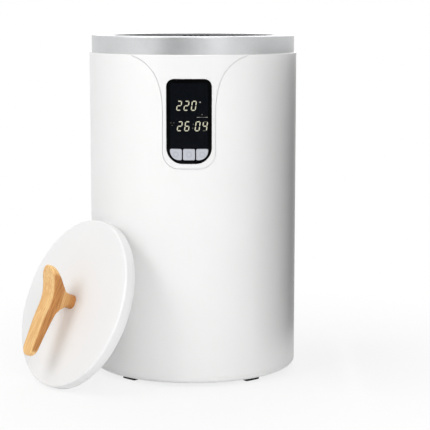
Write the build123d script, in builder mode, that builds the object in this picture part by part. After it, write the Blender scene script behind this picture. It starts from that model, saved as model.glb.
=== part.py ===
from build123d import *
import os
from math import cos, degrees, hypot, pi, radians, sin

# A towel warmer bucket: a heated pot in a white shell, with a drop-in lid that leans against it.
# Millimetres. The bucket's axis is Z, the floor is Z = 0 and the control panel faces -Y.

# ---- body
body_r = 155.0  # outside of the shell
rim_top = 503.7  # height of the whole bucket
rim_h = 25.3  # how far the silver ring stands above the shell
rim_w = 30.0  # from the shell's outside to the lid's edge
shell_wall = 3.2
shell_round = 1.2
shell_shelf = 6.0  # ledge inside the shell that carries the ring
shelf_edge = 2.0
shelf_slope = 10.0
base_z = 6.0  # underside of the base above the floor
base_wall = 3.0
base_edge = 7.0  # rounding round the bottom
base_side = 8.0  # height of the base cover's side
seam_bevel = 0.4  # on both sides of the joint between the base cover and the shell
fit = 0.3  # gap between fitted faces
inner_r = body_r - shell_wall
seam_z = base_z + base_side
shell_top = rim_top - rim_h

# ---- rim ring, mouth collar and lid seat
ring_r = inner_r - fit  # the ring drops into the shell
ring_wall = 2.2
ring_round = 2.0
ring_insert = 8.0  # how far the ring reaches down into the shell
ring_boss_d = 8.0
ring_rib_t = 1.6
ring_rib_h = 8.0
lid_r = body_r - rim_w
lid_t = 17.0
lid_gap = 0.8  # between the lid and the mouth
collar_wall = 2.1
collar_sunk = 0.6  # the collar's upper edge, below the ring's top
collar_round = 1.0
collar_flange = 2.0  # how far the collar's flange reaches past the ring's inner wall
ledge_t = 2.0
mouth_r = lid_r + lid_gap
collar_r = mouth_r + collar_wall
ring_in = collar_r + fit
collar_flange_r = ring_in + ring_wall + collar_flange
ledge_z = rim_top - lid_t
shelf_z = shell_top - ring_insert
vent_slot = (6.0, 1.2)  # width and height
vent_down = 3.1  # middle of the slots, below the ring's top
vent_pitch = 9.0
vent_count = 5

# ---- liner
liner_step = 6.0  # the liner's inside is this much smaller than the lid
liner_wall = 1.2
liner_floor_z = 50.0
liner_corner = 12.0
liner_lip = 3.0  # rounding between the wall and the flange
flange_margin = 9.0  # from the flange's edge to the shell's outside
flange_screw_in = 8.0  # from the flange's edge to its screws
flange_hole_d = 4.4
liner_screws_n = 6
liner_screw_d = 2.8
liner_screw_head = (7.0, 2.2)  # diameter and thickness
liner_screw_l = 10.0
liner_boss_hole = (3.0, 12.0)  # diameter and depth
liner_r = lid_r - liner_step
liner_out = liner_r + liner_wall
flange_r = body_r - flange_margin
flange_screw_r = flange_r - flange_screw_in
flange_top = ledge_z - ledge_t
flange_z = flange_top - liner_wall

# ---- heaters and insulation
heater_t = 1.0
heater_up = 40.0  # lower edge of the wall heater, above the liner's floor
heater_down = 54.7  # its upper edge, below the liner's flange
wire_t = 0.8
wire_turns = 12
sleeve_t = 6.0
sleeve_over = 10.0  # the insulation covers this much more than the heater at each end
seam_gap = 12.0  # where the heater and the sleeve are closed at the back
plate_margin = 24.0  # from the heated plate's edge to the liner's wall
plate_t = 1.6
coil_in = 33.0  # from the plate's edge to the middle of the coil
coil_rod = 7.0
coil_arc = 320.0  # degrees
coil_sunk = 0.4  # share of the rod that is brazed into the plate
pad_margin = 7.0
pad_t = 6.0
shield_margin = 3.0
shield_t = 1.2
shield_lip = 5.0
shield_slots_n = 8
shield_slot = (22.0, 6.0)
shield_slot_in = 26.0  # from the shield's edge to the middle of its slots
stud_d = 6.0
stud_l = 24.0
nut_t = 5.0
nut_af = 10.0
nut_play = 0.2
heater_z = (liner_floor_z + heater_up, flange_top - heater_down)
sleeve_z = (heater_z[0] - sleeve_over, heater_z[1] + sleeve_over)
heater_r = liner_out + fit
sleeve_r = heater_r + heater_t + wire_t + fit
plate_r = liner_r - plate_margin
coil_r = plate_r - coil_in
pad_r = liner_r - pad_margin
shield_r = liner_r - shield_margin
liner_under = liner_floor_z - liner_wall
plate_z = liner_under - plate_t
coil_z = plate_z - coil_sunk * coil_rod
pad_top = coil_z - coil_rod / 2 - fit
shield_top = pad_top - pad_t

# ---- strap with the sensors, above the wall heater
strap_up = 12.0  # middle of the strap above the sleeve
strap_h = 10.0
strap_t = 0.8
strap_gap = 4.0  # between the strap's two ears
strap_ear = 9.0
strap_hole_in = 5.0  # from the strap to the hole in its ears
strap_hole_d = 4.0
strap_screw_d = 3.6
strap_screw_head = (6.0, 2.0)  # diameter and thickness
strap_screw_l = 9.6
thermostat_at = 160.0  # degrees round from the front
thermostat_base = (16.0, 3.0)  # diameter and thickness
thermostat_cap = (14.0, 6.0)
thermostat_tab = (0.8, 6.3, 6.0)  # thickness, width and length
thermostat_tabs = 8.0  # between the two tabs
fuse_at = 200.0
fuse_body = (16.0, 8.0, 5.0)
fuse_round = 2.0
probe_at = 125.0
probe_tab = (18.0, 7.0, 1.5)  # length, width and thickness
probe_body = (5.0, 8.0)  # diameter and length
strap_z = sleeve_z[1] + strap_up
strap_r = liner_out + fit

# ---- base screws, feet and cord gland
spigot_wall = 3.0
spigot_h = 8.0
base_screw_in = 17.0  # from the shell's outside
base_screws_n = 4
base_boss_d = 10.0
base_boss_h = 20.0
web_t = 3.0  # webs between the bosses and the shell's wall
web_clear = 1.0  # above the base cover's spigot
web_bite = 1.0  # how far they run into the wall
base_boss_base = 14.0  # wider boss on the base cover
screw_d = 4.0
screw_head_d = 7.5
screw_head_t = 3.0
base_screw_l = 18.0
base_slot = (14.0, 3.0)  # the base cover's air slots
base_slots_n = 12
base_slot_in = 37.0  # from the shell's outside
foot_in = 14.0  # from the shell's outside to the feet's outer edge
foot_w = 14.0
foot_corner = 3.0
foot_arc = 10.6  # degrees
foot_angles = (-131.0, -49.0, 49.0, 131.0)  # degrees round from +X
foot_sunk = 1.0  # how deep the feet sit in the base cover
foot_round = 1.2
peg_d = 5.0
peg_play = 0.3
peg_apart = 13.0
peg_l = 5.0
gland_z = 50.0
gland_hole = 16.0
gland_flange_d = 22.0
gland_flange_t = 3.0
gland_round = 1.2
gland_bore = 7.5
gland_l = 15.0  # from the shell's outside inwards
gland_nut = (21.0, 4.0)  # width across flats and thickness
gland_nut_in = 4.5  # its inner face, from the shell's wall
base_screw_r = body_r - base_screw_in
web_h = base_boss_h - spigot_h - web_clear
foot_r = body_r - foot_in
spigot_r = inner_r - fit
cover_floor = base_z + base_wall
foot_spots = [Location((0, 0, 0), (0, 0, angle)) for angle in foot_angles]
peg_spots = [(foot_r - foot_w / 2, side * peg_apart / 2, base_z) for side in (-1, 1)]

# ---- control panel: widths are measured round the shell, heights up from the shield's lowest point
fascia_half = 37.3
fascia_h = 160.0  # from the shield's lowest point to the shell's top
fascia_corner = 23.0
fascia_t = 1.7
fascia_groove = 0.7
fascia_tip = 85.0  # the shield's upper tips are cut off square here
flare = ((37.4, 90.4), (38.6, 61.8), (40.9, 49.4), (44.1, 38.4), (49.9, 26.6),
         (58.0, 16.9), (70.0, 7.8), (84.5, 2.0), (108.0, -3.1))  # half width, and depth below the shell's top
window_half = 32.2
window_h = 119.2
window_up = 7.0
window_top_corner = 10.6
window_low_corner = 22.6
window_sunk = 0.2
window_lip = 3.6  # the shell's opening is this much smaller all round
opening_low_corner = 15.0
button_w = 16.6
button_h = 15.7
button_pitch = 18.6
button_up = 5.3  # the buttons' lower edges above the window's
button_corner = 2.0
button_outer_corner = 13.2
button_gap = 0.35
button_proud = 0.3
button_flange = 0.7
button_depth = 6.7  # rear face of the cap, behind the shell's front
button_travel = 0.8
stem_d = 5.0
stem_l = 2.0
fascia_low = shell_top - fascia_h
window_z = (fascia_low + window_up, fascia_low + window_up + window_h)
button_z = window_z[0] + button_up + button_h / 2
button_back = body_r - button_depth
recess_r = body_r - fascia_t - fit  # floor of the recess in the shell
button_places = [(side * button_pitch, button_z) for side in (-1, 0, 1)]

# ---- control housing, board and display behind the panel
board_t = 1.6
board_depth = 14.0  # front face of the board, behind the shell's front
board_in = 4.2  # from the window's side to the board's
board_corner = 3.0
switch_size = 6.0
switch_body_t = 3.3
plunger_d = 3.0
plunger_gap = 0.2  # left when a button is pressed right down
housing_wall = 2.5
housing_gap = 1.5  # between the board and the housing's wall
housing_depth = 22.0
housing_corner = 6.0
ear_d = 9.0
ear_t = 2.5
ear_in = 6.0  # from the board's side
ear_out = 7.0  # ear screws beyond the housing's ends
ear_bite = 1.0  # how far the ears' rear walls run into the housing
ear_set = 1.0  # the ears' front faces behind the board's
ear_screw = (2.6, 8.0)  # diameter, and length in the shell
ear_screw_head = (6.0, 2.0)
boss_pilot_d = 2.8
boss_pilot_end = 2.0  # left closed under the recess
post_in = 4.0  # from the board's edges
post_d = 6.0
post_pilot_d = 2.4
post_screw = (2.2, 2.0)  # diameter, and length below the board
post_screw_head = (5.2, 1.6)
post_hole_d = 3.2
chips = ((0.0, 56.0, 10.0, 10.0), (0.0, 76.0, 14.0, 6.0))  # place on the board, width and height
chip_t = 3.0
coil_place = (14.0, 21.0)
coil_d = 6.0
module_in = 1.0
module_h = 60.0
module_down = 18.0  # from the board's upper end
module_t = 6.5
module_corner = 2.0
digit_h = 15.0
digit_w = 8.2
digit_pitch = 10.3
digit_line = 1.7
digit_gap = 0.2  # half the gap between neighbouring bars
digit_slant = 8.0  # degrees
segment_t = 0.3
upper_digits_at = (-18.2, 36.7)  # across, and above the module's lower edge
lower_digits_at = (-17.0, 7.8)
colon_w = 4.5
colon_dot = 1.8
colon_left = 0.6
degree_at = (15.7, 49.3)
degree_d = 2.6
mark_line_at = (18.8, 28.1)
mark_line = (15.4, 0.8)
mark_dot_at = (18.4, 31.9)
mark_dot_d = 3.0
board_half = window_half - board_in
board_z = (window_z[0] + window_lip, window_z[1] - window_lip)
board_front = body_r - board_depth
module_half = board_half - module_in
module_z = (board_z[1] - module_down - module_h, board_z[1] - module_down)
housing_back = body_r - housing_depth
housing_half = board_half + housing_gap + housing_wall
housing_z = (board_z[0] - housing_gap - housing_wall, board_z[1] + housing_gap + housing_wall)
housing_front_r = inner_r - fit
ear_front = board_front - ear_set
ear_places = [(side * (board_half - ear_in), z) for side in (-1, 1)
              for z in (housing_z[0] - ear_out, housing_z[1] + ear_out)]
post_places = [(side * (board_half - post_in), z) for side in (-1, 1)
               for z in (board_z[0] + post_in, board_z[1] - post_in)]
plunger_tip = button_back - stem_l - button_travel - plunger_gap

# ---- power board in the base
power_board = (110.0, 66.0)
power_board_y = 62.0
power_corner = 3.0
standoff_h = 6.0
standoff_d = 8.0
board_screw_d = 3.0
board_screw_play = 0.4
board_screw_head = (6.0, 2.0)
board_screw_end = 1.0  # the screws stop this far above the cover's floor
board_inset = 6.0
relay_at = (-30.0, 8.0)  # places from the middle of the board
relay_body = (19.0, 15.0, 14.0)
core_round = 1.0
transformer_at = (0.0, 6.0)
core_body = (22.0, 24.0, 4.0)
winding_body = (22.0, 16.0, 9.0)
capacitor_at = (22.0, -6.0)
capacitor_can = (12.0, 13.0)  # diameter and height
terminal_body = (48.0, 10.0, 10.0)
terminal_in = 7.0  # from the board's rear edge
terminal_hole = (4.4, 4.0)  # diameter and depth
terminal_pitch = 9.5
terminals_n = 5
power_z = cover_floor + standoff_h
power_top = power_z + board_t
power_corners = [(x * (power_board[0] / 2 - board_inset), power_board_y + y * (power_board[1] / 2 - board_inset))
                 for x in (-1, 1) for y in (-1, 1)]
terminal_y = power_board_y + power_board[1] / 2 - terminal_in

# ---- lid, measured from the middle of its top face
lid_wall = 2.6
lid_round = 3.0
lid_seam = 12.5  # joint between the cap and the base, below the top
lid_seam_gap = 0.3
lid_under = 16.6
lid_floor = 2.0
lid_edge = 1.5  # rounding round the underside
lid_spigot = 2.4
lid_spigot_h = 3.6
lid_rib_t = 1.8
lid_rib_z = 8.0
lid_ribs_n = 8
handle_boss_d = 24.0
handle_boss_z = 10.0
lid_screw_in = 17.0  # from the lid's edge
lid_screws_n = 6
lid_screws_from = 15.0  # degrees
lid_boss_d = 9.0
lid_screw_d = 3.0
lid_screw_play = 0.2
lid_screw_head = (6.0, 1.7)
lid_screw_l = 9.0
lid_screw_sunk = 2.0
lid_boss_top = 1.0  # left closed above the screws' holes
gasket_in = 2.8  # from the lid's edge to the gasket
gasket_w = 1.8
gasket_t = 1.4
gasket_play = 0.2
foam_in = 25.0  # from the lid's edge
foam_gap = 1.0
lean = 22.3  # degrees that the top face looks up from level
lean_at = -51.9  # degrees round from the front where the lid leans
floor_gap = 0.2
lid_screw_r = lid_r - lid_screw_in
gasket_r = (lid_r - gasket_in - gasket_w, lid_r - gasket_in)
foam_r = lid_r - foam_in
lid_seat_r = lid_r - lid_wall - fit
base_rim = -lid_seam - lid_seam_gap

# ---- wooden handle, in the lid's middle plane: height above the lid, then place up the slope
handle_w = 37.0  # across the upper arm, which ends in a full round
handle_low_w = 26.5  # across the lower arm's round end
handle_high = 40.7  # the arms' ends, up and down the slope from the stem
handle_low = -91.5
handle_edge = 2.2  # rounding along the edges
handle_tip = 3.8  # rounding of the arms' ends, seen from the side
handle_outer = ((47.0, -97.0), (46.0, -60.0), (44.0, -30.0), (42.0, -5.0), (46.4, 15.0), (59.0, 40.0))
handle_upper_back = ((52.8, 43.5), (42.2, 31.2), (33.4, 20.5), (25.6, 13.6), (15.0, 10.4))
handle_lower_back = ((12.0, -12.2), (20.5, -15.0), (27.2, -20.8), (30.6, -33.0), (33.8, -56.0), (39.0, -96.0))
stem_half = 10.5  # half the stem's width up the slope
stem_side = 9.5  # half the stem's width across
stem_neck_z = 10.0
stem_full_z = 34.0  # where the stem has flared out to the handle's width
stem_spare = 1.0  # the flare ends this far outside the handle's sides
stem_round = ((10.4, 7.0), (13.0, 13.5), (19.5, 20.5), (34.0, 27.0), (70.0, 33.0))  # radius at each height
handle_screw_d = 5.0
handle_screw_up = 22.0
handle_screw_head = (9.0, 3.0)  # diameter and thickness
handle_hole_play = 0.2
handle_hole_end = 1.0
washer = (15.0, 0.8)  # diameter and thickness
head_top = -handle_boss_z - washer[1]

# ---- planes of the leaning lid
tilt, turn = radians(lean), radians(lean_at)
lid_normal = Vector(cos(tilt) * sin(turn), -cos(tilt) * cos(turn), sin(tilt))
lid_across = Vector(cos(turn), sin(turn), 0)
lid_up = lid_normal.cross(lid_across)
corner_r = lid_r - lid_edge
corner_depth = lid_under - lid_edge
lid_out = body_r + fit + corner_r * sin(tilt) + corner_depth * cos(tilt) + lid_edge
lid_height = floor_gap + corner_r * cos(tilt) + corner_depth * sin(tilt) + lid_edge
lid_middle = Vector(lid_out * sin(turn), -lid_out * cos(turn), lid_height)
lid_face = Plane(origin=lid_middle, x_dir=lid_across, z_dir=lid_normal)
lid_section = Plane(origin=lid_middle, x_dir=lid_across, z_dir=-lid_up)  # across, then up from the face
lid_side = Plane(origin=lid_middle, x_dir=lid_normal, z_dir=-lid_across)  # up from the face, then up the slope
lid_axis = Axis(lid_middle, lid_normal)

upward = (Align.CENTER, Align.CENTER, Align.MIN)

os.makedirs("parts", exist_ok=True)


def at_arc(arc, z):
    """The point on the front plane that lies this far round the shell from its middle."""
    return (body_r * sin(arc / body_r), z)


def wall_plane(angle, radius, z):
    """A plane that faces out from the axis, at an angle in degrees round from the front."""
    out = Vector(sin(radians(angle)), -cos(radians(angle)), 0)
    return Plane(origin=out * radius + Vector(0, 0, z), x_dir=Vector(0, 0, 1).cross(out), z_dir=out)


def nearest(sketch, x, y):
    """The sketch's vertex nearest a point of its own plane."""
    return sketch.vertices().sort_by_distance((x, y, 0))[0]


def ring_places(radius, count, start=0.0):
    """Places spaced evenly round a circle, from an angle in degrees."""
    angles = [radians(start + 360 * place / count) for place in range(count)]
    return [(radius * cos(angle), radius * sin(angle)) for angle in angles]


def spots(places, diameter, plane=Plane.XZ):
    """Round spots of one size at places on a plane."""
    with BuildSketch(plane) as outline:
        with Locations(*places):
            Circle(diameter / 2)
    return outline.sketch


def screws_at(plane, places, head, shank_d, length, side=1):
    """Screws whose heads sit on a plane, on its front (side 1) or its back (side -1), with the shanks beyond it.

    The head is a diameter and a thickness."""
    with BuildPart() as screws:
        extrude(spots(places, head[0], plane), amount=side * head[1])
        extrude(spots(places, shank_d, plane), amount=-side * length)
    return screws.part


def front_slab(outline, r_in, r_out, z_low, z_high, edge=0.0, half_turn=90.0):
    """The outline carried straight back through a curved wall, with a rounded upper edge.

    The wall reaches this many degrees to each side of the front."""
    start = radians(-90 - half_turn)
    radial = Plane(origin=(0, 0, 0), x_dir=(cos(start), sin(start), 0), z_dir=(sin(start), -cos(start), 0))
    with BuildPart() as slab:
        extrude(outline, amount=r_out)
        with BuildSketch(radial) as section:
            with Locations(((r_in + r_out) / 2, (z_low + z_high) / 2)):
                Rectangle(r_out - r_in, z_high - z_low)
            if edge:
                fillet(nearest(section, r_out, z_high), edge)
        revolve(axis=Axis.Z, revolution_arc=2 * half_turn, mode=Mode.INTERSECT)
    return slab.part


def front_block(outline, back, r_out):
    """The outline as a solid from a plane this far in front of the axis out to a radius."""
    with BuildPart() as block:
        extrude(outline, amount=r_out)
        split(bisect_by=Plane.XZ.offset(back), keep=Keep.TOP)
        Cylinder(r_out, 2 * rim_top, mode=Mode.INTERSECT)
    return block.part


def widened(points, grow):
    """A row of points moved to its right by this much, square to the line through each one's neighbours."""
    moved = []
    for before, (x, z), after in zip(points[:1] + points, points, points[1:] + points[-1:]):
        run = hypot(after[0] - before[0], after[1] - before[1])
        moved.append((x + grow * (after[1] - before[1]) / run, z - grow * (after[0] - before[0]) / run))
    return moved


def fascia_sketch(grow=0.0):
    """The shield: round lower corners, and sides that flare out into the shell's upper edge."""
    shoulder = (fascia_half, fascia_low + fascia_corner)
    side = widened([shoulder] + [at_arc(arc, shell_top - down) for arc, down in flare], grow)
    with BuildSketch(Plane.XZ) as outline:
        with BuildLine():
            low = Line((0, fascia_low - grow), (fascia_half - fascia_corner, fascia_low - grow))
            corner = JernArc(low @ 1, (1, 0), fascia_corner + grow, 90)
            Spline(corner @ 1, *side[1:], tangents=((0, 1), (1, 0.3)))
            Polyline(side[-1], (side[-1][0], rim_top), (0, rim_top))
            mirror(about=Plane.YZ)
        make_face()
    return outline.sketch


def window_sketch(grow=0.0, low_corner=window_low_corner):
    """The display window's outline, tighter at its upper corners."""
    half, _ = at_arc(window_half, 0)
    with BuildSketch(Plane.XZ) as outline:
        with Locations((0, sum(window_z) / 2)):
            Rectangle(2 * (half + grow), window_h + 2 * grow)
        fillet(outline.vertices().group_by(Axis.Y)[-1], window_top_corner + grow)
        fillet(outline.vertices().group_by(Axis.Y)[0], low_corner + grow)
    return outline.sketch


def button_sketch(side, grow=0.0):
    """One button's outline: side is -1, 0 or 1, and the outer two follow the window's lower corners."""
    middle = side * button_pitch
    with BuildSketch(Plane.XZ) as outline:
        with Locations((middle, button_z)):
            Rectangle(button_w, button_h)
        if side:
            fillet(nearest(outline, middle + side * button_w / 2, button_z - button_h / 2), button_outer_corner)
        sharp = [nearest(outline, middle + x * button_w / 2, button_z + z * button_h / 2)
                 for x in (-1, 1) for z in (-1, 1) if not (z < 0 and x == side)]
        fillet(sharp, button_corner)
        if grow:
            offset(amount=grow)
    return outline.sketch


def housing_sketch(grow=0.0):
    """The outline round the control board, with room for it."""
    with BuildSketch(Plane.XZ) as outline:
        with Locations((0, sum(housing_z) / 2)):
            RectangleRounded(2 * (housing_half + grow), housing_z[1] - housing_z[0] + 2 * grow,
                             housing_corner + grow)
    return outline.sketch


def foot_block(z_low, height, grow=0.0):
    """One foot's block on the +X side: a short stretch of a ring with round corners."""
    half = foot_arc / 2 + degrees(grow / foot_r)
    with BuildPart() as block:
        with BuildSketch(Plane.XY.offset(z_low)) as outline:
            with BuildLine():
                outer = CenterArc((0, 0), foot_r + grow, -half, 2 * half)
                inner = CenterArc((0, 0), foot_r - foot_w - grow, -half, 2 * half)
                Line(outer @ 0, inner @ 0)
                Line(outer @ 1, inner @ 1)
            make_face()
            fillet(outline.vertices(), foot_corner + grow)
        extrude(amount=height)
    return block.part


# ---------------------------------------------------------------- shell and base
recess = front_slab(fascia_sketch(fascia_groove), recess_r, body_r + shell_wall, fascia_low - shell_wall, rim_top,
                    half_turn=degrees((fascia_tip + fascia_groove) / body_r))
control_bosses = front_block(spots(ear_places, ear_d), ear_front, inner_r + shell_wall / 2)
base_screw_places = ring_places(base_screw_r, base_screws_n)

with BuildPart() as outer_shell:
    with BuildSketch(Plane.XZ) as shell_section:
        with BuildLine():
            Polyline((inner_r, seam_z), (body_r, seam_z), (body_r, shell_top), (inner_r, shell_top),
                     (inner_r, shelf_z), (inner_r - shell_shelf, shelf_z),
                     (inner_r - shell_shelf, shelf_z - shelf_edge), (inner_r, shelf_z - shelf_slope), close=True)
        make_face()
        fillet(nearest(shell_section, body_r, shell_top), shell_round)
        chamfer(nearest(shell_section, body_r, seam_z), seam_bevel)
    revolve(axis=Axis.Z)
    add(control_bosses)
    add(recess, mode=Mode.SUBTRACT)
    extrude(window_sketch(-window_lip, opening_low_corner + window_lip), amount=body_r, mode=Mode.SUBTRACT)
    extrude(spots(ear_places, boss_pilot_d), amount=recess_r - boss_pilot_end, mode=Mode.SUBTRACT)
    extrude(spots(base_screw_places, base_boss_d, Plane.XY.offset(seam_z)), amount=base_boss_h)
    # webs tie the bosses to the wall, above the base cover's spigot
    with Locations(Plane.XY.offset(seam_z + base_boss_h - web_h)):
        with PolarLocations((base_screw_r + inner_r) / 2 + web_bite, base_screws_n):
            Box(inner_r - base_screw_r, web_t, web_h, align=upward)
    extrude(spots(base_screw_places, screw_d, Plane.XY.offset(seam_z)), amount=base_boss_h - base_wall,
            mode=Mode.SUBTRACT)
    extrude(spots([(0, gland_z)], gland_hole), amount=-(body_r + shell_wall), mode=Mode.SUBTRACT)
outer_shell.part.label = "outer_shell"
export_step(outer_shell.part, "parts/outer_shell.step")

foot_pocket = foot_block(base_z, foot_sunk, fit)

with BuildPart() as base_cover:
    with BuildSketch(Plane.XZ) as cover_section:
        with BuildLine():
            Polyline((0, base_z), (body_r, base_z), (body_r, seam_z), (spigot_r, seam_z),
                     (spigot_r, seam_z + spigot_h), (spigot_r - spigot_wall, seam_z + spigot_h),
                     (spigot_r - spigot_wall, cover_floor), (0, cover_floor), close=True)
        make_face()
        fillet(nearest(cover_section, body_r, base_z), base_edge)
        fillet(nearest(cover_section, spigot_r - spigot_wall, cover_floor), base_wall)
        chamfer(nearest(cover_section, body_r, seam_z), seam_bevel)
    revolve(axis=Axis.Z)
    extrude(spots(base_screw_places, base_boss_base, Plane.XY.offset(cover_floor)), amount=seam_z - cover_floor)
    extrude(spots(power_corners, standoff_d, Plane.XY.offset(cover_floor)), amount=standoff_h)
    extrude(spots(power_corners, board_screw_d, Plane.XY.offset(cover_floor)), amount=standoff_h,
            mode=Mode.SUBTRACT)
    with Locations(Plane.XY.offset(base_z).rotated((180, 0, 0))):
        with PolarLocations(base_screw_r, base_screws_n):
            CounterBoreHole(screw_d / 2 + fit, screw_head_d / 2 + fit, screw_head_t + fit)
    with BuildSketch(Plane.XY.offset(base_z)):
        with PolarLocations(body_r - base_slot_in, base_slots_n, start_angle=180 / base_slots_n):
            SlotOverall(*base_slot)
    extrude(amount=base_wall, mode=Mode.SUBTRACT)
    with Locations(*foot_spots):
        add(foot_pocket, mode=Mode.SUBTRACT)
        with Locations(*peg_spots):
            Cylinder((peg_d + peg_play) / 2, base_wall, align=upward, mode=Mode.SUBTRACT)
base_cover.part.label = "base_cover"
export_step(base_cover.part, "parts/base_cover.step")

with BuildPart() as one_foot:
    add(foot_block(0, base_z + foot_sunk))
    fillet(one_foot.edges().group_by(Axis.Z)[0], foot_round)
    with Locations(*peg_spots):
        Cylinder(peg_d / 2, peg_l, align=upward)

with BuildPart() as feet:
    with Locations(*foot_spots):
        add(one_foot.part)
feet.part.label = "feet"
export_step(feet.part, "parts/feet.step")

with BuildPart() as base_screws:
    add(screws_at(Plane.XY.offset(base_z + screw_head_t), base_screw_places, (screw_head_d, screw_head_t - fit),
                  screw_d, base_screw_l, side=-1))
base_screws.part.label = "base_screws"
export_step(base_screws.part, "parts/base_screws.step")

gland_plane = wall_plane(180, body_r, gland_z)
with BuildPart() as cord_gland:
    with BuildSketch(gland_plane.offset(fit)):
        Circle(gland_flange_d / 2)
    extrude(amount=gland_flange_t)
    fillet(cord_gland.edges().sort_by(Axis.Y)[-1], gland_round)
    with BuildSketch(gland_plane.offset(-gland_l)):
        Circle(gland_hole / 2 - fit)
    extrude(amount=gland_l + fit)
    with BuildSketch(gland_plane.offset(-gland_l)):
        Circle(gland_bore / 2)
    extrude(amount=gland_l + fit + gland_flange_t, mode=Mode.SUBTRACT)
cord_gland.part.label = "cord_gland"
export_step(cord_gland.part, "parts/cord_gland.step")

with BuildPart() as gland_lock:
    with BuildSketch(gland_plane.offset(-shell_wall - gland_nut_in)):
        RegularPolygon(gland_nut[0] / 2, 6, major_radius=False)
        Circle(gland_hole / 2, mode=Mode.SUBTRACT)
    extrude(amount=gland_nut[1])
gland_lock.part.label = "gland_nut"
export_step(gland_lock.part, "parts/gland_nut.step")

# ---------------------------------------------------------------- control panel
fascia_blank = front_slab(fascia_sketch(), body_r - fascia_t, body_r, fascia_low - shell_wall, shell_top,
                          shell_round, half_turn=degrees(fascia_tip / body_r))
with BuildPart() as fascia:
    add(fascia_blank)
    extrude(window_sketch(fit), amount=body_r + shell_wall, mode=Mode.SUBTRACT)
fascia.part.label = "fascia"
export_step(fascia.part, "parts/fascia.step")

window_blank = front_slab(window_sketch(), body_r - fascia_t, body_r - window_sunk, fascia_low, shell_top)
with BuildPart() as display_window:
    add(window_blank)
    for side in (-1, 0, 1):
        extrude(button_sketch(side, button_gap), amount=body_r, mode=Mode.SUBTRACT)
display_window.part.label = "display_window"
export_step(display_window.part, "parts/display_window.step")

for side, name in ((-1, "button_left"), (0, "button_middle"), (1, "button_right")):
    cap = front_block(button_sketch(side), button_back, body_r + button_proud)
    flange = front_block(button_sketch(side, button_flange), button_back, recess_r)
    with BuildPart() as button:
        add(cap)
        add(flange)
        extrude(spots([(side * button_pitch, button_z)], stem_d, Plane.XZ.offset(button_back)), amount=-stem_l)
    button.part.label = name
    export_step(button.part, f"parts/{name}.step")

housing_block = front_block(housing_sketch(), housing_back, housing_front_r)
housing_room = front_block(housing_sketch(-housing_wall), housing_back + housing_wall, body_r)
with BuildPart() as control_housing:
    add(housing_block)
    add(housing_room, mode=Mode.SUBTRACT)
    with BuildSketch(Plane.XZ.offset(ear_front - ear_t)):
        for x, z in ear_places:
            wall_z = min(max(z, housing_z[0] + ear_bite), housing_z[1] - ear_bite)
            with Locations((x, z)):
                Circle(ear_d / 2)
            with Locations((x, (z + wall_z) / 2)):
                Rectangle(ear_d, abs(z - wall_z))
        with Locations(*ear_places):
            Circle(screw_d / 2, mode=Mode.SUBTRACT)
    extrude(amount=ear_t)
    with BuildSketch(Plane.XZ.offset(housing_back + housing_wall)):
        with Locations(*post_places):
            Circle(post_d / 2)
            Circle(post_pilot_d / 2, mode=Mode.SUBTRACT)
    extrude(amount=board_front - board_t - housing_back - housing_wall)
control_housing.part.label = "control_housing"
export_step(control_housing.part, "parts/control_housing.step")

with BuildPart() as control_board:
    with BuildSketch(Plane.XZ.offset(board_front - board_t)):
        with Locations((0, sum(board_z) / 2)):
            RectangleRounded(2 * board_half, board_z[1] - board_z[0], board_corner)
        with Locations(*post_places):
            Circle(post_hole_d / 2, mode=Mode.SUBTRACT)
    extrude(amount=board_t)
control_board.part.label = "control_board"
export_step(control_board.part, "parts/control_board.step")

with BuildPart() as control_screws:
    add(screws_at(Plane.XZ.offset(ear_front - ear_t), ear_places, ear_screw_head, ear_screw[0],
                  ear_t + ear_screw[1], side=-1))
    add(screws_at(Plane.XZ.offset(board_front), post_places, post_screw_head, post_screw[0],
                  board_t + post_screw[1]))
control_screws.part.label = "control_screws"
export_step(control_screws.part, "parts/control_screws.step")

with BuildPart() as tact_switches:
    with BuildSketch(Plane.XZ.offset(board_front)):
        with Locations(*button_places):
            Rectangle(switch_size, switch_size)
    extrude(amount=switch_body_t)
    extrude(spots(button_places, plunger_d, Plane.XZ.offset(board_front + switch_body_t)),
            amount=plunger_tip - board_front - switch_body_t)
tact_switches.part.label = "tact_switches"
export_step(tact_switches.part, "parts/tact_switches.step")

with BuildPart() as board_parts:
    with BuildSketch(Plane.XZ.offset(board_front - board_t)):
        for x, up, width, height in chips:
            with Locations((x, board_z[0] + up)):
                Rectangle(width, height)
        with Locations(*[(side * coil_place[0], board_z[0] + coil_place[1]) for side in (-1, 1)]):
            Circle(coil_d / 2)
    extrude(amount=-chip_t)
board_parts.part.label = "board_parts"
export_step(board_parts.part, "parts/board_parts.step")

with BuildPart() as digit_module:
    with BuildSketch(Plane.XZ.offset(board_front)):
        with Locations((0, sum(module_z) / 2)):
            RectangleRounded(2 * module_half, module_h, module_corner)
    extrude(amount=module_t)
digit_module.part.label = "digit_module"
export_step(digit_module.part, "parts/digit_module.step")

lit_bars = {"0": "abcdef", "2": "abged", "4": "bcfg", "6": "acdefg"}
bar_ends = {"a": ((0, 1), (1, 1)), "b": ((1, 0.5), (1, 1)), "c": ((1, 0), (1, 0.5)), "d": ((0, 0), (1, 0)),
            "e": ((0, 0), (0, 0.5)), "f": ((0, 0.5), (0, 1)), "g": ((0, 0.5), (1, 0.5))}
slant = sin(radians(digit_slant))


def on_module(place):
    """A place across the digit module and above its lower edge, as a place on the front plane."""
    return (place[0], module_z[0] + place[1])


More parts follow.
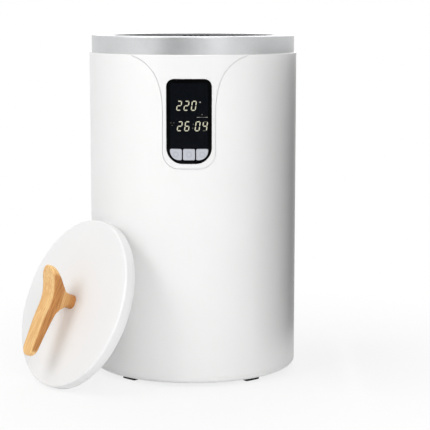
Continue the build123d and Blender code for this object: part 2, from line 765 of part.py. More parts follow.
def bar_outline(bar, x, z):
    """The six corners of one lit bar in the digit whose lower left corner is at x, z."""
    half = digit_line / 2
    (x0, z0), (x1, z1) = [(half + u * (digit_w - digit_line), half + v * (digit_h - digit_line))
                          for u, v in bar_ends[bar]]
    length = hypot(x1 - x0, z1 - z0)
    ux, uz = (x1 - x0) / length, (z1 - z0) / length
    near, far = digit_gap, length - digit_gap
    corners = [(near, 0), (near + half, half), (far - half, half), (far, 0), (far - half, -half),
               (near + half, -half)]
    flat = [(x0 + along * ux - over * uz, z0 + along * uz + over * ux) for along, over in corners]
    return [(x + px + pz * slant, z + pz) for px, pz in flat]


def dot_outline(x, z):
    """The four corners of one of the colon's dots, from its left side and its middle's height."""
    half = colon_dot / 2
    return [(x, z - half), (x + colon_dot, z - half), (x + colon_dot, z + half), (x, z + half)]


def number_outlines(text, x, z):
    """The lit bars of a row of digits, with a narrower place for a colon's two dots."""
    outlines = []
    for char in text:
        if char == ":":
            outlines += [dot_outline(x + colon_left + up * slant, z + up) for up in (0.3 * digit_h, 0.7 * digit_h)]
            x += colon_w
        else:
            outlines += [bar_outline(bar, x, z) for bar in lit_bars[char]]
            x += digit_pitch
    return outlines


with BuildPart() as lit_segments:
    with BuildSketch(Plane.XZ.offset(board_front + module_t)):
        upper, lower = on_module(upper_digits_at), on_module(lower_digits_at)
        for outline in number_outlines("220", *upper) + number_outlines("26:04", *lower):
            Polygon(*outline, align=None)
        with Locations(on_module(degree_at)):
            Circle(degree_d / 2)
        with Locations(on_module(mark_line_at)):
            Rectangle(*mark_line)
        with Locations(on_module(mark_dot_at)):
            Circle(mark_dot_d / 2)
    extrude(amount=segment_t)
lit_segments.part.label = "lit_segments"
export_step(lit_segments.part, "parts/lit_segments.step")

# ---------------------------------------------------------------- rim and liner
flange_screw_places = ring_places(flange_screw_r, liner_screws_n)

with BuildPart() as rim_ring:
    with BuildSketch(Plane.XZ) as ring_section:
        with BuildLine():
            Polyline((ring_r - ring_wall, shelf_z), (ring_r, shelf_z), (ring_r, rim_top), (ring_in, rim_top),
                     (ring_in, ledge_z), (ring_in + ring_wall, ledge_z),
                     (ring_in + ring_wall, rim_top - ring_wall), (ring_r - ring_wall, rim_top - ring_wall),
                     close=True)
        make_face()
        fillet([nearest(ring_section, radius, rim_top) for radius in (ring_r, ring_in)], ring_round)
    revolve(axis=Axis.Z)
    extrude(spots(flange_screw_places, ring_boss_d, Plane.XY.offset(flange_top)),
            amount=rim_top - ring_wall - flange_top)
    with BuildSketch(Plane.XY.offset(rim_top - ring_wall)):
        with PolarLocations((ring_in + ring_r) / 2, 4 * liner_screws_n):
            Rectangle(ring_r - ring_in - ring_wall, ring_rib_t)
    extrude(amount=-ring_rib_h)
    extrude(spots(flange_screw_places, liner_boss_hole[0], Plane.XY.offset(flange_top)),
            amount=liner_boss_hole[1], mode=Mode.SUBTRACT)
rim_ring.part.label = "rim_ring"
export_step(rim_ring.part, "parts/rim_ring.step")

with BuildPart() as mouth_collar:
    collar_top = rim_top - collar_sunk
    with BuildSketch(Plane.XZ) as collar_section:
        with BuildLine():
            Polyline((mouth_r, collar_top), (collar_r, collar_top), (collar_r, ledge_z),
                     (collar_flange_r, ledge_z), (collar_flange_r, flange_top), (liner_out, flange_top),
                     (liner_out, ledge_z), (mouth_r, ledge_z), close=True)
        make_face()
        fillet(nearest(collar_section, mouth_r, collar_top), collar_round)
    revolve(axis=Axis.Z)
    with Locations((0, mouth_r + collar_wall / 2, rim_top - vent_down)):
        with GridLocations(vent_pitch, vent_pitch, vent_count, 1):
            Box(vent_slot[0], 4 * collar_wall, vent_slot[1], mode=Mode.SUBTRACT)
mouth_collar.part.label = "mouth_collar"
export_step(mouth_collar.part, "parts/mouth_collar.step")

with BuildPart() as liner:
    with BuildSketch(Plane.XZ) as liner_section:
        with BuildLine():
            Polyline((0, liner_under), (liner_out, liner_under), (liner_out, flange_z), (flange_r, flange_z),
                     (flange_r, flange_top), (liner_r, flange_top), (liner_r, liner_floor_z),
                     (0, liner_floor_z), close=True)
        make_face()
        fillet(nearest(liner_section, liner_out, liner_under), liner_corner)
        fillet(nearest(liner_section, liner_r, liner_floor_z), liner_corner - liner_wall)
        fillet(nearest(liner_section, liner_out, flange_z), liner_lip)
        fillet(nearest(liner_section, liner_r, flange_top), liner_lip + liner_wall)
    revolve(axis=Axis.Z)
    extrude(spots(flange_screw_places, flange_hole_d, Plane.XY.offset(flange_z)), amount=liner_wall,
            mode=Mode.SUBTRACT)
liner.part.label = "liner"
export_step(liner.part, "parts/liner.step")

with BuildPart() as liner_screws:
    add(screws_at(Plane.XY.offset(flange_z), flange_screw_places, liner_screw_head, liner_screw_d,
                  liner_wall + liner_screw_l, side=-1))
liner_screws.part.label = "liner_screws"
export_step(liner_screws.part, "parts/liner_screws.step")

# ---------------------------------------------------------------- heaters, insulation and sensors
with BuildPart() as wall_heater:
    middle_z, height = sum(heater_z) / 2, heater_z[1] - heater_z[0]
    with BuildSketch(Plane.XZ):
        with Locations((heater_r + heater_t / 2, middle_z)):
            Rectangle(heater_t, height)
        with Locations((heater_r + heater_t, middle_z)):
            with GridLocations(wire_t, height / wire_turns, 1, wire_turns):
                Rectangle(2 * wire_t, 2 * wire_t)
    revolve(axis=Axis.Z)
    with Locations((0, heater_r, middle_z)):
        Box(seam_gap, 2 * seam_gap, 2 * height, mode=Mode.SUBTRACT)
wall_heater.part.label = "wall_heater"
export_step(wall_heater.part, "parts/wall_heater.step")

with BuildPart() as insulation_sleeve:
    middle_z, height = sum(sleeve_z) / 2, sleeve_z[1] - sleeve_z[0]
    with BuildSketch(Plane.XZ) as sleeve_section:
        with Locations((sleeve_r + sleeve_t / 2, middle_z)):
            Rectangle(sleeve_t, height)
        fillet(sleeve_section.vertices(), sleeve_t / 3)
    revolve(axis=Axis.Z)
    with Locations((0, sleeve_r, middle_z)):
        Box(seam_gap, 3 * seam_gap, 2 * height, mode=Mode.SUBTRACT)
insulation_sleeve.part.label = "insulation_sleeve"
export_step(insulation_sleeve.part, "parts/insulation_sleeve.step")

strap_hole_at = [(-strap_r - strap_hole_in, strap_z)]
ear_outside = strap_gap / 2 + strap_t

with BuildPart() as sensor_strap:
    with BuildSketch(Plane.XY.offset(strap_z - strap_h / 2)):
        Circle(strap_r + strap_t)
        with Locations((0, -strap_r)):
            Rectangle(strap_gap + 2 * strap_t, 2 * strap_ear)
            Rectangle(strap_gap, 2 * strap_ear, mode=Mode.SUBTRACT)
        Circle(strap_r, mode=Mode.SUBTRACT)
    extrude(amount=strap_h)
    extrude(spots(strap_hole_at, strap_hole_d, Plane.YZ.offset(ear_outside)), amount=-2 * ear_outside,
            mode=Mode.SUBTRACT)
sensor_strap.part.label = "sensor_strap"
export_step(sensor_strap.part, "parts/sensor_strap.step")

with BuildPart() as strap_screw:
    add(screws_at(Plane.YZ.offset(ear_outside), strap_hole_at, strap_screw_head, strap_screw_d, strap_screw_l))
strap_screw.part.label = "strap_screw"
export_step(strap_screw.part, "parts/strap_screw.step")

with BuildPart() as thermostat:
    back = wall_plane(thermostat_at, strap_r + strap_t, strap_z)
    extrude(spots([(0, 0)], thermostat_base[0], back), amount=thermostat_base[1])
    extrude(spots([(0, 0)], thermostat_cap[0], back.offset(thermostat_base[1])), amount=thermostat_cap[1])
    with BuildSketch(back.offset(thermostat_base[1] + thermostat_cap[1])):
        with GridLocations(thermostat_tabs, 1, 2, 1):
            Rectangle(thermostat_tab[0], thermostat_tab[1])
    extrude(amount=thermostat_tab[2])
thermostat.part.label = "thermostat"
export_step(thermostat.part, "parts/thermostat.step")

with BuildPart() as thermal_fuse:
    with BuildSketch(wall_plane(fuse_at, strap_r + strap_t, strap_z)):
        RectangleRounded(fuse_body[0], fuse_body[1], fuse_round)
    extrude(amount=fuse_body[2])
thermal_fuse.part.label = "thermal_fuse"
export_step(thermal_fuse.part, "parts/thermal_fuse.step")

with BuildPart() as temperature_probe:
    back = wall_plane(probe_at, strap_r + strap_t, strap_z)
    with BuildSketch(back):
        SlotOverall(probe_tab[0], probe_tab[1])
    extrude(amount=probe_tab[2])
    extrude(spots([(0, 0)], probe_body[0], back.offset(probe_tab[2])), amount=probe_body[1])
temperature_probe.part.label = "temperature_probe"
export_step(temperature_probe.part, "parts/temperature_probe.step")

with BuildPart() as floor_heater:
    extrude(spots([(0, 0)], 2 * plate_r, Plane.XY.offset(plate_z)), amount=plate_t)
    with BuildSketch(Plane.XZ):
        with Locations((coil_r, coil_z)):
            Circle(coil_rod / 2)
    revolve(axis=Axis.Z, revolution_arc=coil_arc)
    extrude(spots([(0, 0)], stud_d, Plane.XY.offset(plate_z)), amount=-stud_l)
floor_heater.part.label = "floor_heater"
export_step(floor_heater.part, "parts/floor_heater.step")

with BuildPart() as floor_insulation:
    with BuildSketch(Plane.XY.offset(shield_top)):
        Circle(pad_r)
        Circle(stud_d / 2 + fit, mode=Mode.SUBTRACT)
    extrude(amount=pad_t)
    fillet(floor_insulation.edges().group_by(SortBy.LENGTH)[-1], pad_t / 3)
floor_insulation.part.label = "floor_insulation"
export_step(floor_insulation.part, "parts/floor_insulation.step")

with BuildPart() as heat_shield:
    with BuildSketch(Plane.XZ) as shield_section:
        with BuildLine():
            Polyline((stud_d / 2 + fit, shield_top - shield_t), (shield_r, shield_top - shield_t),
                     (shield_r, shield_top + shield_lip), (shield_r - shield_t, shield_top + shield_lip),
                     (shield_r - shield_t, shield_top), (stud_d / 2 + fit, shield_top), close=True)
        make_face()
        fillet(nearest(shield_section, shield_r, shield_top - shield_t), 2 * shield_t)
        fillet(nearest(shield_section, shield_r - shield_t, shield_top), shield_t)
    revolve(axis=Axis.Z)
    with BuildSketch(Plane.XY.offset(shield_top - shield_t)):
        with PolarLocations(shield_r - shield_slot_in, shield_slots_n):
            SlotOverall(*shield_slot, rotation=90)
    extrude(amount=shield_t, mode=Mode.SUBTRACT)
heat_shield.part.label = "heat_shield"
export_step(heat_shield.part, "parts/heat_shield.step")

with BuildPart() as centre_nut:
    with BuildSketch(Plane.XY.offset(shield_top - shield_t)):
        RegularPolygon(nut_af / 2, 6, major_radius=False)
        Circle((stud_d + nut_play) / 2, mode=Mode.SUBTRACT)
    extrude(amount=-nut_t)
centre_nut.part.label = "centre_nut"
export_step(centre_nut.part, "parts/centre_nut.step")

# ---------------------------------------------------------------- power board in the base
def on_power_board(place, up=0.0):
    """A plane on the power board, at a place from the board's middle and this far above its top face."""
    return Plane(origin=(place[0], power_board_y + place[1], power_top + up))


with BuildPart() as power_panel:
    with BuildSketch(Plane.XY.offset(power_z)):
        with Locations((0, power_board_y)):
            RectangleRounded(*power_board, power_corner)
        with Locations(*power_corners):
            Circle((board_screw_d + board_screw_play) / 2, mode=Mode.SUBTRACT)
    extrude(amount=board_t)
power_panel.part.label = "power_board"
export_step(power_panel.part, "parts/power_board.step")

with BuildPart() as board_screws:
    add(screws_at(Plane.XY.offset(power_top), power_corners, board_screw_head,
                  board_screw_d - board_screw_play / 2, board_t + standoff_h - board_screw_end))
board_screws.part.label = "board_screws"
export_step(board_screws.part, "parts/board_screws.step")

with BuildPart() as relay:
    with BuildSketch(on_power_board(relay_at)):
        RectangleRounded(relay_body[0], relay_body[1], core_round)
    extrude(amount=relay_body[2])
relay.part.label = "relay"
export_step(relay.part, "parts/relay.step")

with BuildPart() as transformer:
    with BuildSketch(on_power_board(transformer_at)):
        RectangleRounded(core_body[0], core_body[1], core_round)
    extrude(amount=core_body[2])
    with BuildSketch(on_power_board(transformer_at, core_body[2])):
        RectangleRounded(winding_body[0], winding_body[1], core_round)
    extrude(amount=winding_body[2])
transformer.part.label = "transformer"
export_step(transformer.part, "parts/transformer.step")

with BuildPart() as capacitor:
    extrude(spots([(0, 0)], capacitor_can[0], on_power_board(capacitor_at)), amount=capacitor_can[1])
    fillet(capacitor.edges().group_by(Axis.Z)[-1], core_round)
capacitor.part.label = "capacitor"
export_step(capacitor.part, "parts/capacitor.step")

with BuildPart() as terminal_block:
    with Locations((0, terminal_y, power_top)):
        Box(*terminal_body, align=upward)
    with BuildSketch(Plane.XY.offset(power_top + terminal_body[2])):
        with Locations((0, terminal_y)):
            with GridLocations(terminal_pitch, terminal_pitch, terminals_n, 1):
                Circle(terminal_hole[0] / 2)
    extrude(amount=-terminal_hole[1], mode=Mode.SUBTRACT)
terminal_block.part.label = "terminal_block"
export_step(terminal_block.part, "parts/terminal_block.step")

# ---------------------------------------------------------------- lid
lid_screw_places = ring_places(lid_screw_r, lid_screws_n, lid_screws_from)
under_lid = lid_face.offset(-lid_under)
lid_room = lid_face.offset(lid_floor - lid_under)

with BuildPart() as lid_cap:
    with BuildSketch(lid_section) as cap_section:
        with BuildLine():
            Polyline((0, 0), (lid_r, 0), (lid_r, -lid_seam), (lid_r - lid_wall, -lid_seam),
                     (lid_r - lid_wall, -lid_wall), (0, -lid_wall), close=True)
        make_face()
        fillet(nearest(cap_section, lid_r, 0), lid_round)
        fillet(nearest(cap_section, lid_r - lid_wall, -lid_wall), lid_wall / 2)
    revolve(axis=lid_axis)
    with BuildSketch(lid_face.offset(-lid_wall)):
        with PolarLocations((lid_r - lid_wall) / 2, lid_ribs_n):
            Rectangle(lid_r - lid_wall, lid_rib_t)
    extrude(amount=lid_wall - lid_rib_z)
    extrude(spots([(0, 0)], handle_boss_d, lid_face.offset(-lid_wall)), amount=lid_wall - handle_boss_z)
    extrude(spots(lid_screw_places, lid_boss_d, lid_face.offset(-lid_wall)), amount=lid_wall - lid_seam)
    extrude(spots(lid_screw_places, lid_screw_d, lid_face.offset(-lid_seam)),
            amount=lid_seam - lid_wall - lid_boss_top, mode=Mode.SUBTRACT)
    extrude(spots([(0, 0)], handle_screw_d + 2 * fit, lid_face), amount=-handle_boss_z, mode=Mode.SUBTRACT)
lid_cap.part.label = "lid_cap"
export_step(lid_cap.part, "parts/lid_cap.step")

with BuildPart() as lid_base:
    with BuildSketch(lid_section) as lid_base_section:
        with BuildLine():
            Polyline((0, -lid_under), (lid_r, -lid_under), (lid_r, base_rim), (lid_seat_r, base_rim),
                     (lid_seat_r, base_rim + lid_spigot_h), (lid_seat_r - lid_spigot, base_rim + lid_spigot_h),
                     (lid_seat_r - lid_spigot, lid_floor - lid_under), (0, lid_floor - lid_under), close=True)
        make_face()
        fillet(nearest(lid_base_section, lid_r, -lid_under), lid_edge)
    revolve(axis=lid_axis)
    extrude(spots(lid_screw_places, lid_boss_d, lid_room), amount=lid_under - lid_floor - lid_seam)
    extrude(spots(lid_screw_places, lid_screw_d + 2 * fit, under_lid), amount=lid_under - lid_seam,
            mode=Mode.SUBTRACT)
    extrude(spots(lid_screw_places, lid_screw_head[0] + 2 * fit, under_lid), amount=lid_screw_sunk,
            mode=Mode.SUBTRACT)
    with BuildSketch(under_lid):
        Circle(gasket_r[1] + gasket_play)
        Circle(gasket_r[0] - gasket_play, mode=Mode.SUBTRACT)
    extrude(amount=gasket_t - lid_t + lid_under, mode=Mode.SUBTRACT)
lid_base.part.label = "lid_base"
export_step(lid_base.part, "parts/lid_base.step")

with BuildPart() as lid_gasket:
    with BuildSketch(lid_face.offset(-lid_t)):
        Circle(gasket_r[1])
        Circle(gasket_r[0], mode=Mode.SUBTRACT)
    extrude(amount=gasket_t)
lid_gasket.part.label = "lid_gasket"
export_step(lid_gasket.part, "parts/lid_gasket.step")

with BuildPart() as lid_insulation:
    with BuildSketch(lid_room):
        Circle(foam_r)
        Circle(handle_boss_d / 2 + foam_gap, mode=Mode.SUBTRACT)
    extrude(amount=lid_under - lid_floor - lid_rib_z)
lid_insulation.part.label = "lid_insulation"
export_step(lid_insulation.part, "parts/lid_insulation.step")

with BuildPart() as lid_screws:
    add(screws_at(under_lid.offset(lid_screw_sunk), lid_screw_places, lid_screw_head,
                  lid_screw_d - lid_screw_play, lid_screw_l, side=-1))
lid_screws.part.label = "lid_screws"
export_step(lid_screws.part, "parts/lid_screws.step")

with BuildPart() as handle_washer:
    with BuildSketch(lid_face.offset(-handle_boss_z)):
        Circle(washer[0] / 2)
        Circle(handle_screw_d / 2 + fit, mode=Mode.SUBTRACT)
    extrude(amount=-washer[1])
handle_washer.part.label = "handle_washer"
export_step(handle_washer.part, "parts/handle_washer.step")

with BuildPart() as handle_screw:
    add(screws_at(lid_face.offset(head_top), [(0, 0)], handle_screw_head, handle_screw_d,
                  handle_screw_up - head_top, side=-1))
handle_screw.part.label = "handle_screw"
export_step(handle_screw.part, "parts/handle_screw.step")

with BuildPart() as lid_handle:
    # seen from the side: a short upper arm, a long lower arm and the stem
    with BuildSketch(lid_side.offset(-handle_w / 2)) as handle_profile:
        with BuildLine():
            outer = Spline(*handle_outer)
            upper = Spline(*handle_upper_back)
            lower = Spline(*handle_lower_back)
            Line(outer @ 1, upper @ 0)
            Polyline(upper @ 1, (0, stem_half), (0, -stem_half), lower @ 0)
            Line(lower @ 1, outer @ 0)
        make_face()
        fillet([nearest(handle_profile, *end) for end in
                (handle_outer[0], handle_outer[-1], handle_upper_back[0], handle_lower_back[-1])], handle_tip)
    extrude(amount=handle_w)
    # seen from above the lid: wide at the upper end, narrow at the lower, and round at both
    with BuildSketch(lid_face):
        with Locations((0, handle_high - handle_w / 2)):
            Circle(handle_w / 2)
        with Locations((0, handle_low + handle_low_w / 2)):
            Circle(handle_low_w / 2)
        make_hull()
    extrude(amount=lid_r, mode=Mode.INTERSECT)
    # seen along the slope: the stem flares out to the full width
    with BuildSketch(lid_section.offset(-lid_r)):
        with BuildLine():
            neck = Line((stem_side, 0), (stem_side, stem_neck_z))
            full = (handle_w / 2 + stem_spare, stem_full_z)
            Spline(neck @ 1, full, tangents=((0, 1), (0.3, 1)))
            Polyline(full, (full[0], lid_r), (0, lid_r))
            Line((0, 0), neck @ 0)
            mirror(about=Plane.YZ)
        make_face()
    extrude(amount=2 * lid_r, mode=Mode.INTERSECT)
    foot = lid_handle.faces().sort_by_distance(lid_middle)[0]
    fillet([edge for edge in lid_handle.edges() if edge not in foot.edges()], handle_edge)
    # the stem is turned round at its foot, and opens out under the arms
    with BuildSketch(lid_section):
        with BuildLine():
            bell = Spline(*stem_round, tangents=((0, 1), (1, 0)))
            Polyline(bell @ 1, (lid_r, stem_round[-1][1]), (lid_r, lid_r), (0, lid_r), (0, 0),
                     (stem_round[0][0], 0), bell @ 0)
        make_face()
    revolve(axis=lid_axis, mode=Mode.INTERSECT)
    extrude(spots([(0, 0)], handle_screw_d + handle_hole_play, lid_face), amount=handle_screw_up + handle_hole_end,
            mode=Mode.SUBTRACT)
lid_handle.part.label = "lid_handle"
export_step(lid_handle.part, "parts/lid_handle.step")
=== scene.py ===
from math import cos, hypot, pi, radians, sin, sqrt

import bmesh
import bpy
from mathutils import Matrix, Vector


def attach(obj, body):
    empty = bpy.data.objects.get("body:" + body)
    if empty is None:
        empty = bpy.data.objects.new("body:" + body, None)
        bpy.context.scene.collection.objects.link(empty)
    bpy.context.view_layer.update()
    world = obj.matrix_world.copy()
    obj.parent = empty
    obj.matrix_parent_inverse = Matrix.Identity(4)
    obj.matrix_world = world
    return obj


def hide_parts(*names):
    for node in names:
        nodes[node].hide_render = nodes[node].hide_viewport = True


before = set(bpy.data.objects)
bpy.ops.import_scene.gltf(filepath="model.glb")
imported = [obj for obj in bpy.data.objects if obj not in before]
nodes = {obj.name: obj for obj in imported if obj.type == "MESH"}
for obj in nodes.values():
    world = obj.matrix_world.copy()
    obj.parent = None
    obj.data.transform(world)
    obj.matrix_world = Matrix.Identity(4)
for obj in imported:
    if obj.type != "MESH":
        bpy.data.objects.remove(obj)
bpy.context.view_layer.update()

scene = bpy.context.scene
scene.view_settings.view_transform = "Standard"

# A towel warmer bucket with its lid leaning beside it, in the CAD model's own frame: z goes up
# along the bucket's axis, and the control panel faces -y. The sizes that follow are in
# millimetres, and MM turns them to Blender's metres.
MM = 0.001

# The lens of the control panel and the caps of its three buttons.
lens_r = 154.8
window_z = (325.4, 444.6)
window_half = 32.2
button_pitch = 18.6
button_z = 338.55

# The display's digits and its small marks. A place is x and z, a size is length and height.
digit_h = 14.0
digit_w = 7.0
digit_pitch = 10.3
digit_line = 1.35
digit_gap = 0.4
digit_slant = sin(radians(8.0))
colon_w = 4.5
colon_dot = 1.8
colon_left = 0.6
colon_heights = (0.3 * digit_h, 0.7 * digit_h)
upper_digits_at = (-18.2, 400.4)
lower_digits_at = (-17.4, 371.6)
degree_at, degree_size = (15.7, 412.3), (2.4, 2.0)
mark_line_at, mark_line_size = (18.8, 391.1), (15.4, 0.8)
mark_dot_at, mark_dot_size = (18.4, 394.9), (2.4, 1.4)
side_marks_at, side_mark_size = ((-25.6, 383.2), (-21.4, 383.2), (-23.7, 379.6)), (2.2, 0.9)
lit_proud = 0.05  # the lit bars shine through the lens, and lie on its face here

dark_bore_r = 130.5  # inside this radius the ring is coloured near-black and not metallic
base_screw_seat_z = 9.0  # the base screws' heads sit in pockets 3 mm deep
lid_screw_seat = 14.6  # from the lid's top face down to the seats of its screws

# The lid's own directions: out of its top face, across, and up the slope.
lean = radians(22.3)
lean_turn = radians(-51.9)
lid_out = Vector((cos(lean) * sin(lean_turn), -cos(lean) * cos(lean_turn), sin(lean)))
lid_across = Vector((cos(lean_turn), sin(lean_turn), 0))
lid_up = lid_out.cross(lid_across)
lid_middle = Vector((-171.263, -134.288, 121.693))

# The handle's ends up and down the slope, its width at both, and the heights over the lid between
# which painted shade darkens its stem.
handle_high = 40.7
handle_low = -91.5
handle_w = 37.0
handle_low_w = 26.5
stem_top = 36.0
stem_foot = 2.0


# ---------------------------------------------------------------- nodes and colours
def linear(hex_colour):
    """A colour written as sRGB hex, as the linear values that a shader takes."""
    parts = [int(hex_colour[i:i + 2], 16) / 255 for i in (1, 3, 5)]
    lit = [part / 12.92 if part <= 0.04045 else ((part + 0.055) / 1.055) ** 2.4 for part in parts]
    return (*lit, 1.0)


def add_node(tree, kind, inputs=None, **settings):
    """Adds a node with its settings. An input takes a value, an output, or a list of outputs."""
    node = tree.nodes.new(kind)
    for name, value in settings.items():
        setattr(node, name, value)
    for name, value in (inputs or {}).items():
        for each in value if isinstance(value, list) else [value]:
            if isinstance(each, bpy.types.NodeSocket):
                tree.links.new(each, node.inputs[name])
            else:
                node.inputs[name].default_value = each
    return node


def start_material(name, **shader_inputs):
    """Starts a material: returns it, its tree, its Principled shader and the place on the piece."""
    made = bpy.data.materials.new(name)
    made.use_nodes = True
    tree = made.node_tree
    tree.nodes.clear()
    inputs = {key.replace("_", " "): value for key, value in shader_inputs.items()}
    shader = add_node(tree, "ShaderNodeBsdfPrincipled", inputs)
    add_node(tree, "ShaderNodeOutputMaterial", {"Surface": shader.outputs[0]})
    place = add_node(tree, "ShaderNodeTexCoord").outputs["Object"]
    return made, tree, shader, place


def finish_material(tree, shader, colour, gloss, rough, height, depth_mm, strength=0.6):
    """Joins a colour, a roughness range that follows a pattern, and a relief of a real depth."""
    rough_range = add_node(tree, "ShaderNodeMapRange",
                           {"Value": gloss, "To Min": rough[0], "To Max": rough[1]})
    relief = add_node(tree, "ShaderNodeBump",
                      {"Height": height, "Distance": depth_mm * MM, "Strength": strength})
    tree.links.new(colour, shader.inputs["Base Color"])
    tree.links.new(rough_range.outputs[0], shader.inputs["Roughness"])
    tree.links.new(relief.outputs[0], shader.inputs["Normal"])


def per_metre(size_mm):
    """The texture scale whose features are this many millimetres across."""
    return 1000.0 / size_mm


def radius_from_axis(tree, axes):
    """How far a place is from the bucket's axis."""
    level = add_node(tree, "ShaderNodeCombineXYZ", {0: axes.outputs["X"], 1: axes.outputs["Y"]})
    length = add_node(tree, "ShaderNodeVectorMath", {0: level.outputs[0]}, operation="LENGTH")
    return length.outputs["Value"]


# ---------------------------------------------------------------- plastics, rubber and paint
def moulded_plastic(name, pale, deep, rough, grain_mm, grain_depth_mm, ior=1.5):
    """Injection-moulded plastic: a faint drift of colour, an even fine grain and an orange peel."""
    made, tree, shader, place = start_material(name, IOR=ior)
    drift_mm, peel_mm, peel_share = 70.0, 6.0, 0.6
    drift = add_node(tree, "ShaderNodeTexNoise",
                     {"Vector": place, "Scale": per_metre(drift_mm), "Detail": 3.0})
    colour = add_node(tree, "ShaderNodeMix",
                      {"Factor": drift.outputs["Fac"], "A": linear(pale), "B": linear(deep)},
                      data_type="RGBA")
    # a mould's real grain is under 0.1 mm, too fine to show: grain_mm is coarser
    grain = add_node(tree, "ShaderNodeTexNoise",
                     {"Vector": place, "Scale": per_metre(grain_mm), "Detail": 4.0})
    peel = add_node(tree, "ShaderNodeTexNoise",
                    {"Vector": place, "Scale": per_metre(peel_mm), "Detail": 1.0})
    height = add_node(tree, "ShaderNodeMath",
                      {0: peel.outputs["Fac"], 1: peel_share, 2: grain.outputs["Fac"]},
                      operation="MULTIPLY_ADD")
    finish_material(tree, shader, colour.outputs["Result"], grain.outputs["Fac"],
                    rough=(rough - 0.05, rough + 0.07), height=height.outputs[0],
                    depth_mm=grain_depth_mm)
    return made


# White ABS with a satin gloss: reflections are soft and the edges stay bright.
satin_white_abs = moulded_plastic("satin_white_abs", "#F3F3F3", "#EFEFEE", rough=0.34, grain_mm=0.9,
                                  grain_depth_mm=0.012, ior=1.54)
# The panel's shield is the same plastic from a better polished mould, so it is a little glossier.
polished_white_abs = moulded_plastic("polished_white_abs", "#F1F1F1", "#EEEEEE", rough=0.22,
                                     grain_mm=1.2, grain_depth_mm=0.006, ior=1.54)
# The lid is moulded in one wide flat face, which is duller and shows a faint drift of tone.
matt_white_abs = moulded_plastic("matt_white_abs", "#F4F4F4", "#F0F0F0", rough=0.42, grain_mm=0.8,
                                 grain_depth_mm=0.015, ior=1.54)
# Black polypropylene, with the dull even skin of a spark-eroded mould.
black_pp = moulded_plastic("spark_grained_black_polypropylene", "#2A2B2E", "#1F2022", rough=0.5,
                           grain_mm=0.5, grain_depth_mm=0.02)
# The collar round the mouth is the same plastic in a mid grey, a little shinier from handling.
grey_pp = moulded_plastic("spark_grained_grey_polypropylene", "#7C7D80", "#6B6C6F", rough=0.42,
                          grain_mm=0.5, grain_depth_mm=0.02)
# Soft thermoplastic rubber: nearly black, with no shine.
black_rubber = moulded_plastic("black_thermoplastic_rubber", "#131314", "#1B1B1C", rough=0.82,
                               grain_mm=0.6, grain_depth_mm=0.03)
# Silicone cord for the seal: a milky grey with a greasy sheen.
pale_silicone = moulded_plastic("pale_silicone_rubber", "#D9D9D6", "#CDCDC9", rough=0.6,
                                grain_mm=0.5, grain_depth_mm=0.01, ior=1.41)
# Undyed nylon: a warm off-white with a dull, waxy shine.
natural_nylon = moulded_plastic("natural_nylon", "#E9E6DA", "#DDD9CA", rough=0.45, grain_mm=0.8,
                                grain_depth_mm=0.01)
# Polyester moulded in blue, as relay cases are: a strong even colour under a soft gloss.
blue_pbt = moulded_plastic("blue_polyester_case", "#2456A5", "#1D4688", rough=0.4, grain_mm=0.6,
                           grain_depth_mm=0.01)
# Epoxy moulded round chips, coils and switches: nearly black, with a close dull grain.
black_epoxy = moulded_plastic("moulded_black_epoxy", "#1C1C1D", "#131314", rough=0.5, grain_mm=0.35,
                              grain_depth_mm=0.015)
# A shrunk vinyl sleeve round a capacitor: smooth, dark blue and fairly glossy.
shrunk_vinyl = moulded_plastic("shrunk_vinyl_sleeve", "#1B2440", "#141B31", rough=0.28,
                               grain_mm=2.5, grain_depth_mm=0.02)


def silver_lacquer():
    """Metallic silver lacquer under a satin clear coat: tiny flakes, each lighter or darker."""
    made, tree, shader, place = start_material("metallic_silver_lacquer",
                                               Coat_Weight=0.25, Coat_Roughness=0.3)
    flake_mm, cloud_mm, flake_share, lacquer_metallic = 0.7, 25.0, 0.5, 0.78
    # real flakes are 0.03 mm, too fine to show: flake_mm is coarser
    flakes = add_node(tree, "ShaderNodeTexVoronoi", {"Vector": place, "Scale": per_metre(flake_mm)})
    cloud = add_node(tree, "ShaderNodeTexNoise",
                     {"Vector": place, "Scale": per_metre(cloud_mm), "Detail": 2.0})
    sparkle = add_node(tree, "ShaderNodeSeparateColor", {"Color": flakes.outputs["Color"]})
    blend = add_node(tree, "ShaderNodeMath",
                     {0: sparkle.outputs[0], 1: flake_share, 2: cloud.outputs["Fac"]},
                     operation="MULTIPLY_ADD", use_clamp=True)
    silver = add_node(tree, "ShaderNodeMix",
                      {"Factor": blend.outputs[0], "A": linear("#BFC0C1"), "B": linear("#CBCCCD")},
                      data_type="RGBA")
    # inside that radius the ring's inner wall is coloured near-black instead of silver, and not
    # metallic
    axes = add_node(tree, "ShaderNodeSeparateXYZ", {0: place})
    silver_outside = add_node(tree, "ShaderNodeMath",
                       {0: radius_from_axis(tree, axes), 1: dark_bore_r * MM},
                       operation="GREATER_THAN")
    colour = add_node(tree, "ShaderNodeMix",
                      {"Factor": silver_outside.outputs[0], "A": linear("#1B1B1C"),
                       "B": silver.outputs["Result"]}, data_type="RGBA")
    metal = add_node(tree, "ShaderNodeMath", {0: silver_outside.outputs[0], 1: lacquer_metallic},
                     operation="MULTIPLY")
    tree.links.new(metal.outputs[0], shader.inputs["Metallic"])
    finish_material(tree, shader, colour.outputs["Result"], sparkle.outputs[1], rough=(0.34, 0.46),
                    height=sparkle.outputs[2], depth_mm=0.004)
    return made


